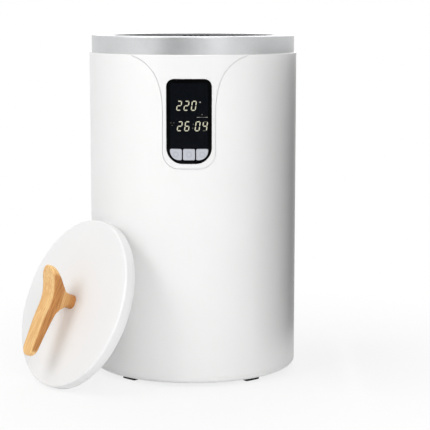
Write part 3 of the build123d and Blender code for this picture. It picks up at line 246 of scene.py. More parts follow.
def smoked_acrylic():
    """A moulded acrylic lens: black at its printed border, a deep blue-black over the display."""
    made, tree, shader, place = start_material("smoked_acrylic", IOR=1.49)
    border, border_fade, smudge_mm, ripple_mm = 4.5, 2.5, 16.0, 20.0
    axes = add_node(tree, "ShaderNodeSeparateXYZ", {0: place})
    low, high = window_z
    insides = []
    for axis, middle, half in (("X", 0.0, window_half), ("Z", (low + high) / 2, (high - low) / 2)):
        offset = add_node(tree, "ShaderNodeMath", {0: axes.outputs[axis], 1: -middle * MM},
                          operation="ADD")
        away = add_node(tree, "ShaderNodeMath", {0: offset.outputs[0]}, operation="ABSOLUTE")
        insides.append(add_node(tree, "ShaderNodeMapRange",
                                {"Value": away.outputs[0], "From Min": (half - border) * MM,
                                 "From Max": (half - border - border_fade) * MM}).outputs[0])
    clear = add_node(tree, "ShaderNodeMath", {0: insides[0], 1: insides[1]}, operation="MULTIPLY")
    colour = add_node(tree, "ShaderNodeMix",
                      {"Factor": clear.outputs[0], "A": linear("#040405"), "B": linear("#0B0E13")},
                      data_type="RGBA")
    smudge = add_node(tree, "ShaderNodeTexNoise",
                      {"Vector": place, "Scale": per_metre(smudge_mm), "Detail": 5.0,
                       "Distortion": 0.8})
    ripple = add_node(tree, "ShaderNodeTexNoise",
                      {"Vector": place, "Scale": per_metre(ripple_mm), "Detail": 0.0})
    finish_material(tree, shader, colour.outputs["Result"], smudge.outputs["Fac"],
                    rough=(0.05, 0.16), height=ripple.outputs["Fac"], depth_mm=0.01, strength=0.3)
    return made


def button_caps():
    """Satin grey ABS caps: a fine grain, and a shallow ring pressed round the middle of each."""
    made, tree, shader, place = start_material("satin_grey_abs", IOR=1.54)
    ring_r, ring_w, ring_share, grain_mm = 3.4, 0.9, 0.55, 0.8
    axes = add_node(tree, "ShaderNodeSeparateXYZ", {0: place})
    centred = add_node(tree, "ShaderNodeMath",
                       {0: axes.outputs["X"], 1: button_pitch * MM / 2, 2: -button_pitch * MM / 2},
                       operation="WRAP")
    height = add_node(tree, "ShaderNodeMath", {0: axes.outputs["Z"], 1: -button_z * MM},
                      operation="ADD")
    spot = add_node(tree, "ShaderNodeCombineXYZ", {0: centred.outputs[0], 1: height.outputs[0]})
    away = add_node(tree, "ShaderNodeVectorMath", {0: spot.outputs[0]}, operation="LENGTH")
    on_ring = add_node(tree, "ShaderNodeMath",
                       {0: away.outputs["Value"], 1: ring_r * MM, 2: ring_w * MM},
                       operation="COMPARE")
    grain = add_node(tree, "ShaderNodeTexNoise",
                     {"Vector": place, "Scale": per_metre(grain_mm), "Detail": 3.0})
    mark = add_node(tree, "ShaderNodeMath",
                    {0: on_ring.outputs[0], 1: ring_share, 2: grain.outputs["Fac"]},
                    operation="MULTIPLY_ADD", use_clamp=True)
    colour = add_node(tree, "ShaderNodeMix",
                      {"Factor": mark.outputs[0], "A": linear("#C8CBD2"), "B": linear("#B0B3BB")},
                      data_type="RGBA")
    finish_material(tree, shader, colour.outputs["Result"], grain.outputs["Fac"], rough=(0.36, 0.5),
                    height=mark.outputs[0], depth_mm=-0.02)
    return made


def lit_display(name, glow, strength):
    """A display's lit bar: warm white, a little brighter over its lamps, behind a frosted layer."""
    made, tree, shader, place = start_material(name, Base_Color=linear("#1C1C1A"), Roughness=0.4,
                                               Emission_Strength=strength)
    lamp_mm, frost_mm, frost_share, dimmest = 3.0, 0.35, 0.25, 0.8
    lamps = add_node(tree, "ShaderNodeTexNoise",
                     {"Vector": place, "Scale": per_metre(lamp_mm), "Detail": 1.0})
    # a frosted layer's grains are 0.05 mm, too fine to show: frost_mm is coarser
    frost = add_node(tree, "ShaderNodeTexVoronoi", {"Vector": place, "Scale": per_metre(frost_mm)})
    mixed = add_node(tree, "ShaderNodeMath",
                     {0: frost.outputs["Distance"], 1: frost_share, 2: lamps.outputs["Fac"]},
                     operation="MULTIPLY_ADD", use_clamp=True)
    dimmed = tuple(dimmest * c for c in linear(glow)[:3]) + (1.0,)
    colour = add_node(tree, "ShaderNodeMix",
                      {"Factor": mixed.outputs[0], "A": linear(glow), "B": dimmed},
                      data_type="RGBA")
    tree.links.new(colour.outputs["Result"], shader.inputs["Emission Color"])
    return made


# ---------------------------------------------------------------- wood
def oiled_beech():
    """Oiled beech: honey-coloured, straight fibres, soft bands, flecks, painted shade on sides and
    stem.
    """
    made, tree, shader, place = start_material("oiled_beech", IOR=1.46)
    fibre_mm, band_mm, fleck_mm = 1.6, 6.5, 1.8
    # the board's own directions: x across it, y along it and z out of its face
    to_board = Matrix((lid_across, lid_up, lid_out))
    board = add_node(tree, "ShaderNodeMapping",
                     {"Vector": place, "Rotation": to_board.to_euler(),
                      "Location": -(to_board @ lid_middle) * MM})
    axes = add_node(tree, "ShaderNodeSeparateXYZ", {0: board.outputs[0]})
    # real fibres are 0.1 mm wide, too fine to show: fibre_mm is coarser, and they run 50 mm
    fibre_place = add_node(tree, "ShaderNodeMapping",
                           {"Vector": board.outputs[0], "Scale": (1.0, 0.032, 1.0)})
    fibres = add_node(tree, "ShaderNodeTexNoise",
                      {"Vector": fibre_place.outputs[0], "Scale": per_metre(fibre_mm),
                       "Detail": 4.0, "Roughness": 0.6})
    grain = add_node(tree, "ShaderNodeMapRange",
                     {"Value": fibres.outputs["Fac"], "From Min": 0.36, "From Max": 0.64})
    wood = add_node(tree, "ShaderNodeMix",
                    {"Factor": grain.outputs[0], "A": linear("#FCD798"), "B": linear("#E5AE69")},
                    data_type="RGBA")
    # growth bands run along the board, a little off its length
    band_place = add_node(tree, "ShaderNodeMapping",
                          {"Vector": board.outputs[0], "Rotation": (0, 0, radians(4)),
                           "Scale": (1.0, 0.09, 0.5)})
    bands = add_node(tree, "ShaderNodeTexNoise",
                     {"Vector": band_place.outputs[0], "Scale": per_metre(band_mm),
                      "Detail": 2.0, "Distortion": 0.5})
    band = add_node(tree, "ShaderNodeMapRange",
                    {"Value": bands.outputs["Fac"], "From Min": 0.45, "From Max": 0.68,
                     "To Max": 0.5})
    banded = add_node(tree, "ShaderNodeMix",
                      {"Factor": band.outputs[0], "A": wood.outputs["Result"],
                       "B": linear("#DB9C56")}, data_type="RGBA")
    # painted shade: the sawn sides are coloured darker than the planed front, the stem darker
    # towards the lid
    half_width = add_node(tree, "ShaderNodeMapRange",
                          {"Value": axes.outputs["Y"],
                           "From Min": handle_low * MM, "From Max": handle_high * MM,
                           "To Min": handle_low_w / 2 * MM, "To Max": handle_w / 2 * MM})
    side = add_node(tree, "ShaderNodeMath", {0: axes.outputs["X"]}, operation="ABSOLUTE")
    share = add_node(tree, "ShaderNodeMath", {0: side.outputs[0], 1: half_width.outputs[0]},
                     operation="DIVIDE")
    painted_side_shade = add_node(tree, "ShaderNodeMapRange",
                      {"Value": share.outputs[0], "From Min": 0.84, "From Max": 0.97,
                       "To Max": 0.88})
    stem = add_node(tree, "ShaderNodeMapRange",
                    {"Value": axes.outputs["Z"], "From Min": stem_top * MM,
                     "From Max": stem_foot * MM, "To Max": 0.9})
    painted_shade = add_node(tree, "ShaderNodeMath", {0: painted_side_shade.outputs[0], 1: stem.outputs[0]},
                      operation="MAXIMUM")
    # painted shade: darker copies of the wood's colours, laid on the sides and the stem
    shaded_mottle = add_node(tree, "ShaderNodeMix",
                      {"Factor": grain.outputs[0], "A": linear("#C68440"), "B": linear("#9E5F28")},
                      data_type="RGBA")
    shade_painted_wood = add_node(tree, "ShaderNodeMix",
                     {"Factor": painted_shade.outputs[0], "A": banded.outputs["Result"],
                      "B": shaded_mottle.outputs["Result"]}, data_type="RGBA")
    # beech's short dark flecks lie along the fibres, one to a cell, and are a little hollow
    fleck_place = add_node(tree, "ShaderNodeMapping",
                           {"Vector": board.outputs[0], "Scale": (1.0, 0.2, 1.0)})
    flecks = add_node(tree, "ShaderNodeTexVoronoi",
                      {"Vector": fleck_place.outputs[0], "Scale": per_metre(fleck_mm)})
    fleck = add_node(tree, "ShaderNodeMapRange",
                     {"Value": flecks.outputs["Distance"], "From Min": 0.2, "From Max": 0.05,
                      "To Max": 0.45})
    colour = add_node(tree, "ShaderNodeMix",
                      {"Factor": fleck.outputs[0], "A": shade_painted_wood.outputs["Result"],
                       "B": linear("#9A6430")}, data_type="RGBA")
    relief = add_node(tree, "ShaderNodeMath",
                      {0: fleck.outputs[0], 1: -0.8, 2: fibres.outputs["Fac"]},
                      operation="MULTIPLY_ADD")
    finish_material(tree, shader, colour.outputs["Result"], fibres.outputs["Fac"],
                    rough=(0.36, 0.54), height=relief.outputs[0], depth_mm=0.1)
    return made


# ---------------------------------------------------------------- metals
def worked_metal(name, pale, deep, rough, line_mm, line_depth_mm, spun=False):
    """Metal with the fine lines of its working, spun round the bucket's axis or drawn along x."""
    made, tree, shader, place = start_material(name, Metallic=1.0)
    cloud_mm, stretch = 30.0, 0.02
    if spun:
        axes = add_node(tree, "ShaderNodeSeparateXYZ", {0: place})
        across = add_node(tree, "ShaderNodeCombineXYZ",
                          {0: radius_from_axis(tree, axes), 2: axes.outputs["Z"]})
    else:
        across = add_node(tree, "ShaderNodeMapping",
                          {"Vector": place, "Scale": (stretch, 1.0, 1.0)})
    # real tool lines are under 0.1 mm apart, too fine to show: line_mm is coarser
    lines = add_node(tree, "ShaderNodeTexNoise",
                     {"Vector": across.outputs[0], "Scale": per_metre(line_mm),
                      "Detail": 3.0, "Roughness": 0.6})
    cloud = add_node(tree, "ShaderNodeTexNoise",
                     {"Vector": place, "Scale": per_metre(cloud_mm), "Detail": 3.0})
    tone = add_node(tree, "ShaderNodeMath", {0: lines.outputs["Fac"], 1: cloud.outputs["Fac"]},
                    operation="MULTIPLY")
    spread = add_node(tree, "ShaderNodeMapRange",
                      {"Value": tone.outputs[0], "From Min": 0.12, "From Max": 0.4})
    colour = add_node(tree, "ShaderNodeMix",
                      {"Factor": spread.outputs[0], "A": linear(deep), "B": linear(pale)},
                      data_type="RGBA")
    finish_material(tree, shader, colour.outputs["Result"], lines.outputs["Fac"],
                    rough=(rough - 0.08, rough + 0.1), height=lines.outputs["Fac"],
                    depth_mm=line_depth_mm)
    return made


# The liner is spun from sheet and anodised clear: fine rings run round it.
spun_aluminium = worked_metal("spun_anodised_aluminium", "#D2D3D4", "#BCBEC0", rough=0.34,
                              line_mm=0.9, line_depth_mm=0.02, spun=True)
# The floor heater's plate is pressed aluminium: dull and pale, with wide rolling lines.
pressed_aluminium = worked_metal("pressed_aluminium_plate", "#C8C9CA", "#AFB1B3", rough=0.42,
                                 line_mm=1.6, line_depth_mm=0.02)
# Zinc plate on screws and washers: a cool, fairly bright grey with close lines.
zinc_plate = worked_metal("zinc_plated_steel", "#C9CBCC", "#AEB2B5", rough=0.32, line_mm=0.4,
                          line_depth_mm=0.01)
# Nickel plate on the thermostat's case: warmer than zinc, and smoother.
nickel_plate = worked_metal("nickel_plated_steel", "#C7C2B8", "#ADA89E", rough=0.26, line_mm=0.5,
                            line_depth_mm=0.008)
# Brass turned from bar for the probe: a warm yellow with fine tool lines.
turned_brass = worked_metal("turned_brass", "#D2AE62", "#B48E45", rough=0.3, line_mm=0.35,
                            line_depth_mm=0.012)


def galvanised_sheet():
    """Hot-dip galvanised sheet: large frost-like crystals, each with its own grey and dullness."""
    made, tree, shader, place = start_material("galvanised_sheet_steel", Metallic=1.0)
    crystal_mm, wobble_mm, wobble_by_mm = 9.0, 6.0, 4.0
    wobble = add_node(tree, "ShaderNodeTexNoise",
                      {"Vector": place, "Scale": per_metre(wobble_mm), "Detail": 2.0})
    moved = add_node(tree, "ShaderNodeVectorMath",
                     {0: wobble.outputs["Color"], 1: (wobble_by_mm * MM,) * 3, 2: place},
                     operation="MULTIPLY_ADD")
    crystals = add_node(tree, "ShaderNodeTexVoronoi",
                        {"Vector": moved.outputs[0], "Scale": per_metre(crystal_mm)})
    grey = add_node(tree, "ShaderNodeSeparateColor", {"Color": crystals.outputs["Color"]})
    colour = add_node(tree, "ShaderNodeMix",
                      {"Factor": grey.outputs[0], "A": linear("#A9AEB2"), "B": linear("#C6CACD")},
                      data_type="RGBA")
    finish_material(tree, shader, colour.outputs["Result"], grey.outputs[1], rough=(0.3, 0.55),
                    height=grey.outputs[2], depth_mm=0.02)
    return made


# ---------------------------------------------------------------- insulation, heater and boards
def woven_glass():
    """Glass-fibre cloth: a plain weave of loose white threads with a silky sheen."""
    made, tree, shader, place = start_material("woven_glass_fibre", Sheen_Weight=0.3,
                                               Sheen_Roughness=0.4)
    thread_mm, fluff_mm = 1.2, 8.0
    across, along = [add_node(tree, "ShaderNodeTexWave",
                              {"Vector": place, "Scale": per_metre(thread_mm) / (2 * pi),
                               "Distortion": 1.2, "Detail": 2.0}, bands_direction=direction)
                     for direction in ("DIAGONAL", "Z")]
    crossed = add_node(tree, "ShaderNodeMath", {0: across.outputs["Fac"], 1: along.outputs["Fac"]},
                       operation="MULTIPLY")
    fluff = add_node(tree, "ShaderNodeTexNoise",
                     {"Vector": place, "Scale": per_metre(fluff_mm), "Detail": 5.0})
    tone = add_node(tree, "ShaderNodeMath", {0: crossed.outputs[0], 1: fluff.outputs["Fac"]},
                    operation="ADD", use_clamp=True)
    colour = add_node(tree, "ShaderNodeMix",
                      {"Factor": tone.outputs[0], "A": linear("#CFCDC3"), "B": linear("#EDECE6")},
                      data_type="RGBA")
    finish_material(tree, shader, colour.outputs["Result"], fluff.outputs["Fac"],
                    rough=(0.75, 0.95), height=crossed.outputs[0], depth_mm=0.3)
    return made


def open_foam():
    """Melamine foam: a pale grey skin of tiny open cells, with no shine."""
    made, tree, shader, place = start_material("open_cell_foam")
    # real cells are 0.2 mm, too fine to show: cell_mm is coarser
    cell_mm, drift_mm = 1.4, 20.0
    cells = add_node(tree, "ShaderNodeTexVoronoi", {"Vector": place, "Scale": per_metre(cell_mm)})
    drift = add_node(tree, "ShaderNodeTexNoise",
                     {"Vector": place, "Scale": per_metre(drift_mm), "Detail": 3.0})
    colour = add_node(tree, "ShaderNodeMix",
                      {"Factor": cells.outputs["Distance"], "A": linear("#B9B9B4"),
                       "B": linear("#E2E2DE")}, data_type="RGBA")
    finish_material(tree, shader, colour.outputs["Result"], drift.outputs["Fac"], rough=(0.85, 1.0),
                    height=cells.outputs["Distance"], depth_mm=0.4)
    return made


def printed_sheet(name, ground, print_colour, pitch_mm, line_share, rough):
    """A sheet of etched tracks at a pitch, broken by round bright pads, under a thin clear film."""
    made, tree, shader, place = start_material(name, Coat_Weight=0.4, Coat_Roughness=0.15)
    run_pitches, pad_pitches, haze_mm, pad_colour = 9, 6.0, 5.0, "#C9CCCB"
    tracks = add_node(tree, "ShaderNodeTexBrick",
                      {"Vector": place, "Scale": 1.0, "Mortar Size": pitch_mm * line_share * MM,
                       "Brick Width": run_pitches * pitch_mm * MM, "Row Height": pitch_mm * MM,
                       "Color1": linear(ground), "Color2": linear(ground),
                       "Mortar": linear(print_colour)})
    pads = add_node(tree, "ShaderNodeTexVoronoi",
                    {"Vector": place, "Scale": per_metre(pad_pitches * pitch_mm),
                     "Randomness": 0.6})
    pad = add_node(tree, "ShaderNodeMapRange",
                   {"Value": pads.outputs["Distance"], "From Min": 0.12, "From Max": 0.1})
    colour = add_node(tree, "ShaderNodeMix",
                      {"Factor": pad.outputs[0], "A": tracks.outputs["Color"],
                       "B": linear(pad_colour)}, data_type="RGBA")
    haze = add_node(tree, "ShaderNodeTexNoise",
                    {"Vector": place, "Scale": per_metre(haze_mm), "Detail": 4.0})
    relief = add_node(tree, "ShaderNodeMath", {0: tracks.outputs["Fac"], 1: pad.outputs[0]},
                      operation="MAXIMUM")
    finish_material(tree, shader, colour.outputs["Result"], haze.outputs["Fac"],
                    rough=(rough - 0.06, rough + 0.08), height=relief.outputs[0], depth_mm=0.04)
    return made


# Amber polyimide film with the dark tracks of a heating foil.
heater_film = printed_sheet("polyimide_heater_film", "#A8601E", "#5B4A3A", pitch_mm=5.0,
                            line_share=0.35, rough=0.3)
# Green solder mask over copper tracks, which show as a paler green.
solder_mask = printed_sheet("solder_masked_board", "#14532F", "#2B7A4B", pitch_mm=1.6,
                            line_share=0.3, rough=0.35)
# The display's bars with their lamps off: only a faint glow reaches them.
unlit_bars = lit_display("dim_display_bars", "#F5F0DC", 0.1)


# ---------------------------------------------------------------- finishes of the CAD nodes
def assign(made, *names):
    """Gives CAD nodes a material."""
    for name in names:
        slots = nodes[name].data.materials
        slots.clear()
        slots.append(made)


assign(satin_white_abs, "outer_shell", "base_cover")
assign(polished_white_abs, "fascia")
assign(matt_white_abs, "lid_cap", "lid_base")
assign(silver_lacquer(), "rim_ring")
assign(grey_pp, "mouth_collar")
assign(black_pp, "control_housing", "gland_nut")
assign(smoked_acrylic(), "display_window")
assign(button_caps(), "button_left", "button_middle", "button_right")
assign(black_rubber, "feet", "cord_gland")
assign(pale_silicone, "lid_gasket")
assign(oiled_beech(), "lid_handle")
assign(spun_aluminium, "liner")
assign(pressed_aluminium, "floor_heater")
assign(zinc_plate, "liner_screws", "strap_screw", "control_screws", "board_screws", "handle_screw",
       "handle_washer", "centre_nut", "base_screws", "lid_screws")
assign(galvanised_sheet(), "sensor_strap", "heat_shield")
assign(nickel_plate, "thermostat")
assign(turned_brass, "temperature_probe")
assign(natural_nylon, "thermal_fuse", "terminal_block")
assign(blue_pbt, "relay")
assign(black_epoxy, "board_parts", "transformer", "digit_module", "tact_switches")
assign(shrunk_vinyl, "capacitor")
assign(woven_glass(), "insulation_sleeve", "floor_insulation")
assign(open_foam(), "lid_insulation")
assign(heater_film, "wall_heater")
assign(solder_mask, "control_board", "power_board")
assign(unlit_bars, "lit_segments")


# ---------------------------------------------------------------- the display's lit bars
def add_piece(name, mesh, body):
    """Puts a mesh in the scene as a piece that rides on a body."""
    piece = bpy.data.objects.new(name, mesh)
    scene.collection.objects.link(piece)
    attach(piece, body)
    return piece


# A digit lights some of its seven bars. A bar runs between two corners or middles of its box.
lit_bars = {"0": "abcdef", "2": "abdeg", "4": "bcfg", "6": "acdefg"}
bar_ends = {"a": ((0, 1), (1, 1)), "b": ((1, 0.5), (1, 1)), "c": ((1, 0), (1, 0.5)),
            "d": ((0, 0), (1, 0)), "e": ((0, 0), (0, 0.5)), "f": ((0, 0.5), (0, 1)),
            "g": ((0, 0.5), (1, 0.5))}


def bar_outline(bar, x, z):
    """The six corners of one bar in the digit whose lower left corner is at x, z."""
    half = digit_line / 2
    (x0, z0), (x1, z1) = [(half + u * (digit_w - digit_line), half + v * (digit_h - digit_line))
                          for u, v in bar_ends[bar]]
    length = hypot(x1 - x0, z1 - z0)
    ux, uz = (x1 - x0) / length, (z1 - z0) / length
    near, far = digit_gap, length - digit_gap
    corners = [(near, 0), (near + half, half), (far - half, half),
               (far, 0), (far - half, -half), (near + half, -half)]
    flat = [(x0 + along * ux - over * uz, z0 + along * uz + over * ux) for along, over in corners]
    return [(x + px + pz * digit_slant, z + pz) for px, pz in flat]


def rounded_outline(x, z, length, width, steps=8):
    """A bar with round ends, or a round dot where its length is its width."""
    run = (length - width) / 2
    turns = [(-90 + 180 * step / steps, 1) for step in range(steps + 1)]
    turns += [(90 + 180 * step / steps, -1) for step in range(steps + 1)]
    return [(x + end * run + width / 2 * cos(radians(turn)), z + width / 2 * sin(radians(turn)))
            for turn, end in turns]


def number_outlines(text, x, z):
    """The lit bars of a row of digits, and the dots of its colon."""
    bars, dots = [], []
    for char in text:
        if char == ":":
            dots += [rounded_outline(x + colon_left + colon_dot / 2 + up * digit_slant, z + up,
                                     colon_dot, colon_dot) for up in colon_heights]
            x += colon_w
        else:
            bars += [bar_outline(bar, x, z) for bar in lit_bars[char]]
            x += digit_pitch
    return bars, dots


def lens_plates(name, outlines, made):
    """Thin closed plates on the curved face of the lens, one for each outline."""
    shape = bmesh.new()
    for outline in outlines:
        count = len(outline)
        middle = [sum(corner[axis] for corner in outline) / count for axis in (0, 1)]
        rings, hubs = [], []
        for radius in (lens_r - lit_proud, lens_r + lit_proud):
            *ring, hub = [shape.verts.new((x * MM, -sqrt(radius ** 2 - x ** 2) * MM, z * MM))
                          for x, z in [*outline, middle]]
            rings.append(ring)
            hubs.append(hub)
        for corner in range(count):
            after = (corner + 1) % count
            shape.faces.new((rings[0][corner], rings[0][after],
                             rings[1][after], rings[1][corner]))
            for ring, hub in zip(rings, hubs):
                shape.faces.new((ring[corner], ring[after], hub))
    bmesh.ops.recalc_face_normals(shape, faces=shape.faces)
    mesh = bpy.data.meshes.new(name)
    shape.to_mesh(mesh)
    shape.free()
    mesh.materials.append(made)
    add_piece(name, mesh, "bucket")


bars, dots = zip(number_outlines("220", *upper_digits_at),
                 number_outlines("26:04", *lower_digits_at))
last_digit_x = lower_digits_at[0] + 3 * digit_pitch + colon_w
faint_bars = [bar_outline(bar, last_digit_x, lower_digits_at[1]) for bar in "ad"]
# Fully lit bars are warm white, the degree sign and the line are half lit, and the rest only glows.
lens_plates("digit_bars_lit", sum(bars, []), lit_display("lit_display_bars", "#F3EFD2", 0.88))
lens_plates("display_marks_dim",
            [rounded_outline(*degree_at, *degree_size),
             rounded_outline(*mark_line_at, *mark_line_size)],
            lit_display("half_lit_display_marks", "#E4E2D4", 0.42))
lens_plates("digit_bars_faint",
            faint_bars + sum(dots, []) + [rounded_outline(*mark_dot_at, *mark_dot_size)]
            + [rounded_outline(*place, *side_mark_size) for place in side_marks_at],
            lit_display("faint_display_bars", "#D8D2AE", 0.1))


# ---------------------------------------------------------------- screws
def screw_tree(finish):
    """A geometry tree: a ring of pan-head screws with a cross recess, from named sizes."""
    tree = bpy.data.node_groups.new("ring_of_cross_head_screws", "GeometryNodeTree")
    tree.interface.new_socket("Geometry", in_out="OUTPUT", socket_type="NodeSocketGeometry")
    for size in ("Head Radius", "Head Thickness", "Shank Radius", "Shank Length", "Recess Length",
                 "Recess Width", "Recess Depth", "Ring Radius", "First Angle"):
        tree.interface.new_socket(size, in_out="INPUT", socket_type="NodeSocketFloat")
    for number in ("Count", "Seed"):
        tree.interface.new_socket(number, in_out="INPUT", socket_type="NodeSocketInt")
    given = add_node(tree, "NodeGroupInput").outputs
    # the head narrows to 0.8 of its radius at the top
    crown = add_node(tree, "ShaderNodeMath", {0: given["Head Radius"], 1: 0.8},
                     operation="MULTIPLY")
    head = add_node(tree, "GeometryNodeMeshCone",
                    {"Vertices": 40, "Radius Top": crown.outputs[0],
                     "Radius Bottom": given["Head Radius"], "Depth": given["Head Thickness"]})
    # two bars, centred on the head's top and twice as tall as the recess is deep, cut the cross
    tall = add_node(tree, "ShaderNodeMath", {0: given["Recess Depth"], 1: 2.0},
                    operation="MULTIPLY")
    on_top = add_node(tree, "ShaderNodeCombineXYZ", {"Z": given["Head Thickness"]})
    for long, short in (("X", "Y"), ("Y", "X")):
        size = add_node(tree, "ShaderNodeCombineXYZ",
                        {long: given["Recess Length"], short: given["Recess Width"],
                         "Z": tall.outputs[0]})
        block = add_node(tree, "GeometryNodeMeshCube", {"Size": size.outputs[0]})
        bar = add_node(tree, "GeometryNodeTransform",
                       {"Geometry": block.outputs["Mesh"], "Translation": on_top.outputs[0]})
        head = add_node(tree, "GeometryNodeMeshBoolean",
                        {"Mesh 1": head.outputs["Mesh"], "Mesh 2": bar.outputs[0]},
                        operation="DIFFERENCE", solver="EXACT")
    rod = add_node(tree, "GeometryNodeMeshCylinder",
                   {"Vertices": 24, "Radius": given["Shank Radius"],
                    "Depth": given["Shank Length"]})
    half_down = add_node(tree, "ShaderNodeMath", {0: given["Shank Length"], 1: -0.5},
                         operation="MULTIPLY")
    below = add_node(tree, "ShaderNodeCombineXYZ", {"Z": half_down.outputs[0]})
    shank = add_node(tree, "GeometryNodeTransform",
                     {"Geometry": rod.outputs["Mesh"], "Translation": below.outputs[0]})
    screw = add_node(tree, "GeometryNodeJoinGeometry",
                     {"Geometry": [head.outputs["Mesh"], shank.outputs[0]]})
    ring = add_node(tree, "GeometryNodeMeshCircle",
                    {"Vertices": given["Count"], "Radius": given["Ring Radius"]})
    # each screw was driven home at its own angle
    driven = add_node(tree, "FunctionNodeRandomValue",
                      {"Max": (0.0, 0.0, pi / 2), "Seed": given["Seed"]},
                      data_type="FLOAT_VECTOR")
    placed = add_node(tree, "GeometryNodeInstanceOnPoints",
                      {"Points": ring.outputs["Mesh"], "Instance": screw.outputs[0],
                       "Rotation": driven.outputs["Value"]})
    start = add_node(tree, "ShaderNodeCombineXYZ", {"Z": given["First Angle"]})
    turned = add_node(tree, "GeometryNodeTransform",
                      {"Geometry": placed.outputs[0], "Rotation": start.outputs[0]})
    real = add_node(tree, "GeometryNodeRealizeInstances", {"Geometry": turned.outputs[0]})
    coated = add_node(tree, "GeometryNodeSetMaterial",
                      {"Geometry": real.outputs[0], "Material": finish})
    add_node(tree, "NodeGroupOutput", {"Geometry": coated.outputs[0]})
    return tree


def screw_sizes(first_angle, count, seed, **sizes_mm):
    """The screw tree's inputs by name, from sizes in millimetres."""
    sizes = {name.replace("_", " ").title(): size * MM for name, size in sizes_mm.items()}
    return sizes | {"First Angle": radians(first_angle), "Count": count, "Seed": seed}


def ring_of_screws(name, tree, sizes, seat, x_way, head_way, body, replaced):
    """Makes the tree's screws a plain mesh, on a seat from which their heads face one way."""
    made = bpy.data.objects.new(name, bpy.data.meshes.new(name))
    scene.collection.objects.link(made)
    modifier = made.modifiers.new("screws", "NODES")
    modifier.node_group = tree
    for socket in tree.interface.items_tree:
        if socket.in_out == "INPUT":
            modifier[socket.identifier] = sizes[socket.name]
    ready = made.evaluated_get(bpy.context.evaluated_depsgraph_get())
    mesh = bpy.data.meshes.new_from_object(ready)
    bpy.data.objects.remove(made)
    turn = Matrix((x_way, head_way.cross(x_way), head_way)).transposed().to_4x4()
    mesh.transform(Matrix.Translation(seat * MM) @ turn)
    mesh.shade_smooth()
    mesh.set_sharp_from_angle(angle=radians(35))
    piece = add_piece(name, mesh, body)
    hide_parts(replaced)


screws = screw_tree(zinc_plate)
base_sizes = screw_sizes(0.0, 4, 3, head_radius=3.75, head_thickness=2.7, shank_radius=2.0,
                         shank_length=18.0, recess_length=4.0, recess_width=1.0, recess_depth=1.5,
                         ring_radius=138.0)
lid_sizes = screw_sizes(-15.0, 6, 8, head_radius=3.0, head_thickness=1.7, shank_radius=1.4,
                        shank_length=9.0, recess_length=3.2, recess_width=0.8, recess_depth=1.1,
                        ring_radius=108.0)
ring_of_screws("base_cross_screws", screws, base_sizes, Vector((0, 0, base_screw_seat_z)),
               Vector((1, 0, 0)), Vector((0, 0, -1)), "bucket", "base_screws")
ring_of_screws("lid_cross_screws", screws, lid_sizes, lid_middle - lid_screw_seat * lid_out,
               lid_across, -lid_out, "lid", "lid_screws")


# ---------------------------------------------------------------- stage
def camera():
    """The camera: a long lens, some way off, that looks down a little."""
    eye_mm = Vector((83.37, -2170.27, 539.78))
    yaw, pitch, roll = -0.023133, 0.141421, 0.00073
    forward = Vector((sin(yaw) * cos(pitch), cos(yaw) * cos(pitch), -sin(pitch)))
    level = Vector((cos(yaw), -sin(yaw), 0))
    over = level.cross(forward)
    right = level * cos(roll) + over * sin(roll)
    up = over * cos(roll) - level * sin(roll)
    lens = bpy.data.cameras.new("studio_camera")
    lens.sensor_width = 36.0
    lens.lens = 120.266
    made = bpy.data.objects.new("studio_camera", lens)
    place = Matrix((right, up, -forward)).transposed().to_4x4()
    place.translation = eye_mm * MM
    made.matrix_world = place
    scene.collection.objects.link(made)
    scene.camera = made


def softbox(name, place, aim_height, side, watts):
    """A square white softbox that points at a height on the bucket's axis, in metres."""
    light = bpy.data.lights.new(name, "AREA")
    light.shape = "SQUARE"
    light.size = side
    light.energy = watts
    made = bpy.data.objects.new(name, light)
    made.location = place
    beam = Vector((0, 0, aim_height)) - Vector(place)
    made.rotation_euler = beam.to_track_quat("-Z", "Y").to_euler()
    scene.collection.objects.link(made)


def background_rays(tree):
    """1 on the rays that see the background: the camera's, and those off metal and glass."""
    rays = add_node(tree, "ShaderNodeLightPath").outputs
    seen = rays["Is Camera Ray"]
    for ray in ("Is Glossy Ray", "Is Transmission Ray"):
        seen = add_node(tree, "ShaderNodeMath", {0: seen, 1: rays[ray]},
                        operation="MAXIMUM").outputs[0]
    return seen


def room():
    """A white studio: soft light from all round, and plain white in view and in reflections."""
    fill_strength = 0.38
    world = bpy.data.worlds.new("studio_room")
    scene.world = world
    world.use_nodes = True
    tree = world.node_tree
    tree.nodes.clear()
    fill, backdrop = [add_node(tree, "ShaderNodeBackground",
                               {"Color": linear("#FFFFFF"), "Strength": strength})
                      for strength in (fill_strength, 1.0)]
    either = add_node(tree, "ShaderNodeMixShader",
                      {0: background_rays(tree), 1: fill.outputs[0], 2: backdrop.outputs[0]})
    add_node(tree, "ShaderNodeOutputWorld", {"Surface": either.outputs[0]})


def stage_sheet(name, corners, made):
    """A flat sheet of the studio's own, which isn't part of the object."""
    mesh = bpy.data.meshes.new(name)
    mesh.from_pydata(corners, [], [(0, 1, 2, 3)])
    mesh.materials.append(made)
    sheet = bpy.data.objects.new(name, mesh)
    scene.collection.objects.link(sheet)
    return sheet


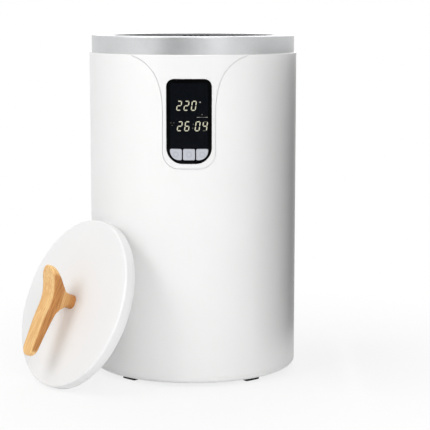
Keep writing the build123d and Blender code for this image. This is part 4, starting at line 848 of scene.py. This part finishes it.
def floor():
    """A white paper floor. It keeps the object's soft shadow, and runs into the white room."""
    reach, shadow_r, white_r, least_white, tooth_mm = 6.0, 0.2, 0.7, 0.78, 1.5
    paper, tree, shader, place = start_material("seamless_white_paper", Roughness=0.9)
    tooth = add_node(tree, "ShaderNodeTexNoise",
                     {"Vector": place, "Scale": per_metre(tooth_mm), "Detail": 3.0})
    colour = add_node(tree, "ShaderNodeMix",
                      {"Factor": tooth.outputs["Fac"], "A": linear("#F8F8F8"),
                       "B": linear("#F2F2F2")}, data_type="RGBA")
    tree.links.new(colour.outputs["Result"], shader.inputs["Base Color"])
    # the paper turns into plain white from shadow_r to white_r out from the object, in metres
    away = add_node(tree, "ShaderNodeVectorMath", {0: place}, operation="LENGTH")
    far = add_node(tree, "ShaderNodeMapRange",
                   {"Value": away.outputs["Value"], "From Min": shadow_r, "From Max": white_r,
                    "To Min": least_white, "To Max": 1.0}, interpolation_type="SMOOTHSTEP")
    share = add_node(tree, "ShaderNodeMath", {0: far.outputs[0], 1: background_rays(tree)},
                     operation="MULTIPLY")
    white = add_node(tree, "ShaderNodeEmission", {"Color": linear("#FFFFFF"), "Strength": 1.0})
    either = add_node(tree, "ShaderNodeMixShader",
                      {0: share.outputs[0], 1: shader.outputs[0], 2: white.outputs[0]})
    tree.links.new(either.outputs[0], tree.get_output_node("ALL").inputs["Surface"])
    stage_sheet("studio_floor", [(-reach, -reach, 0), (reach, -reach, 0), (reach, reach, 0),
                                 (-reach, reach, 0)], paper)


def dark_screen(name, low, high, dims_fill):
    """An upright screen of black velvet between two corners, which darkens reflections and,
    if wanted, the fill light. The camera doesn't see it, and it casts no shadow on the floor."""
    pile_mm = 3.0
    velvet, tree, shader, place = start_material(name + "_velvet", Roughness=1.0)
    pile = add_node(tree, "ShaderNodeTexNoise",
                    {"Vector": place, "Scale": per_metre(pile_mm), "Detail": 2.0})
    colour = add_node(tree, "ShaderNodeMix",
                      {"Factor": pile.outputs["Fac"], "A": linear("#161616"),
                       "B": linear("#1E1E1E")}, data_type="RGBA")
    tree.links.new(colour.outputs["Result"], shader.inputs["Base Color"])
    screen = stage_sheet(name, [low, (high[0], high[1], low[2]), high, (low[0], low[1], high[2])],
                         velvet)
    screen.visible_camera = False
    screen.visible_shadow = False
    screen.visible_diffuse = dims_fill


camera()
room()
floor()
softbox("key_softbox", (-1.9, -1.3, 1.8), aim_height=0.25, side=1.6, watts=24)
softbox("front_softbox", (0.75, -2.5, 1.45), aim_height=0.25, side=1.4, watts=31.5)
softbox("top_softbox", (-0.2, 0.2, 2.4), aim_height=0.3, side=1.6, watts=5)
softbox("back_softbox", (0.3, 2.3, 1.5), aim_height=0.25, side=1.6, watts=22)
# One screen gives the lens its black, and the other shades the bucket's right side.
dark_screen("camera_side_screen", (-1.6, -2.45, 0), (1.1, -2.45, 1.3), dims_fill=False)
dark_screen("right_screen", (0.24, -0.16, 0.02), (0.24, 0.16, 0.47), dims_fill=True)
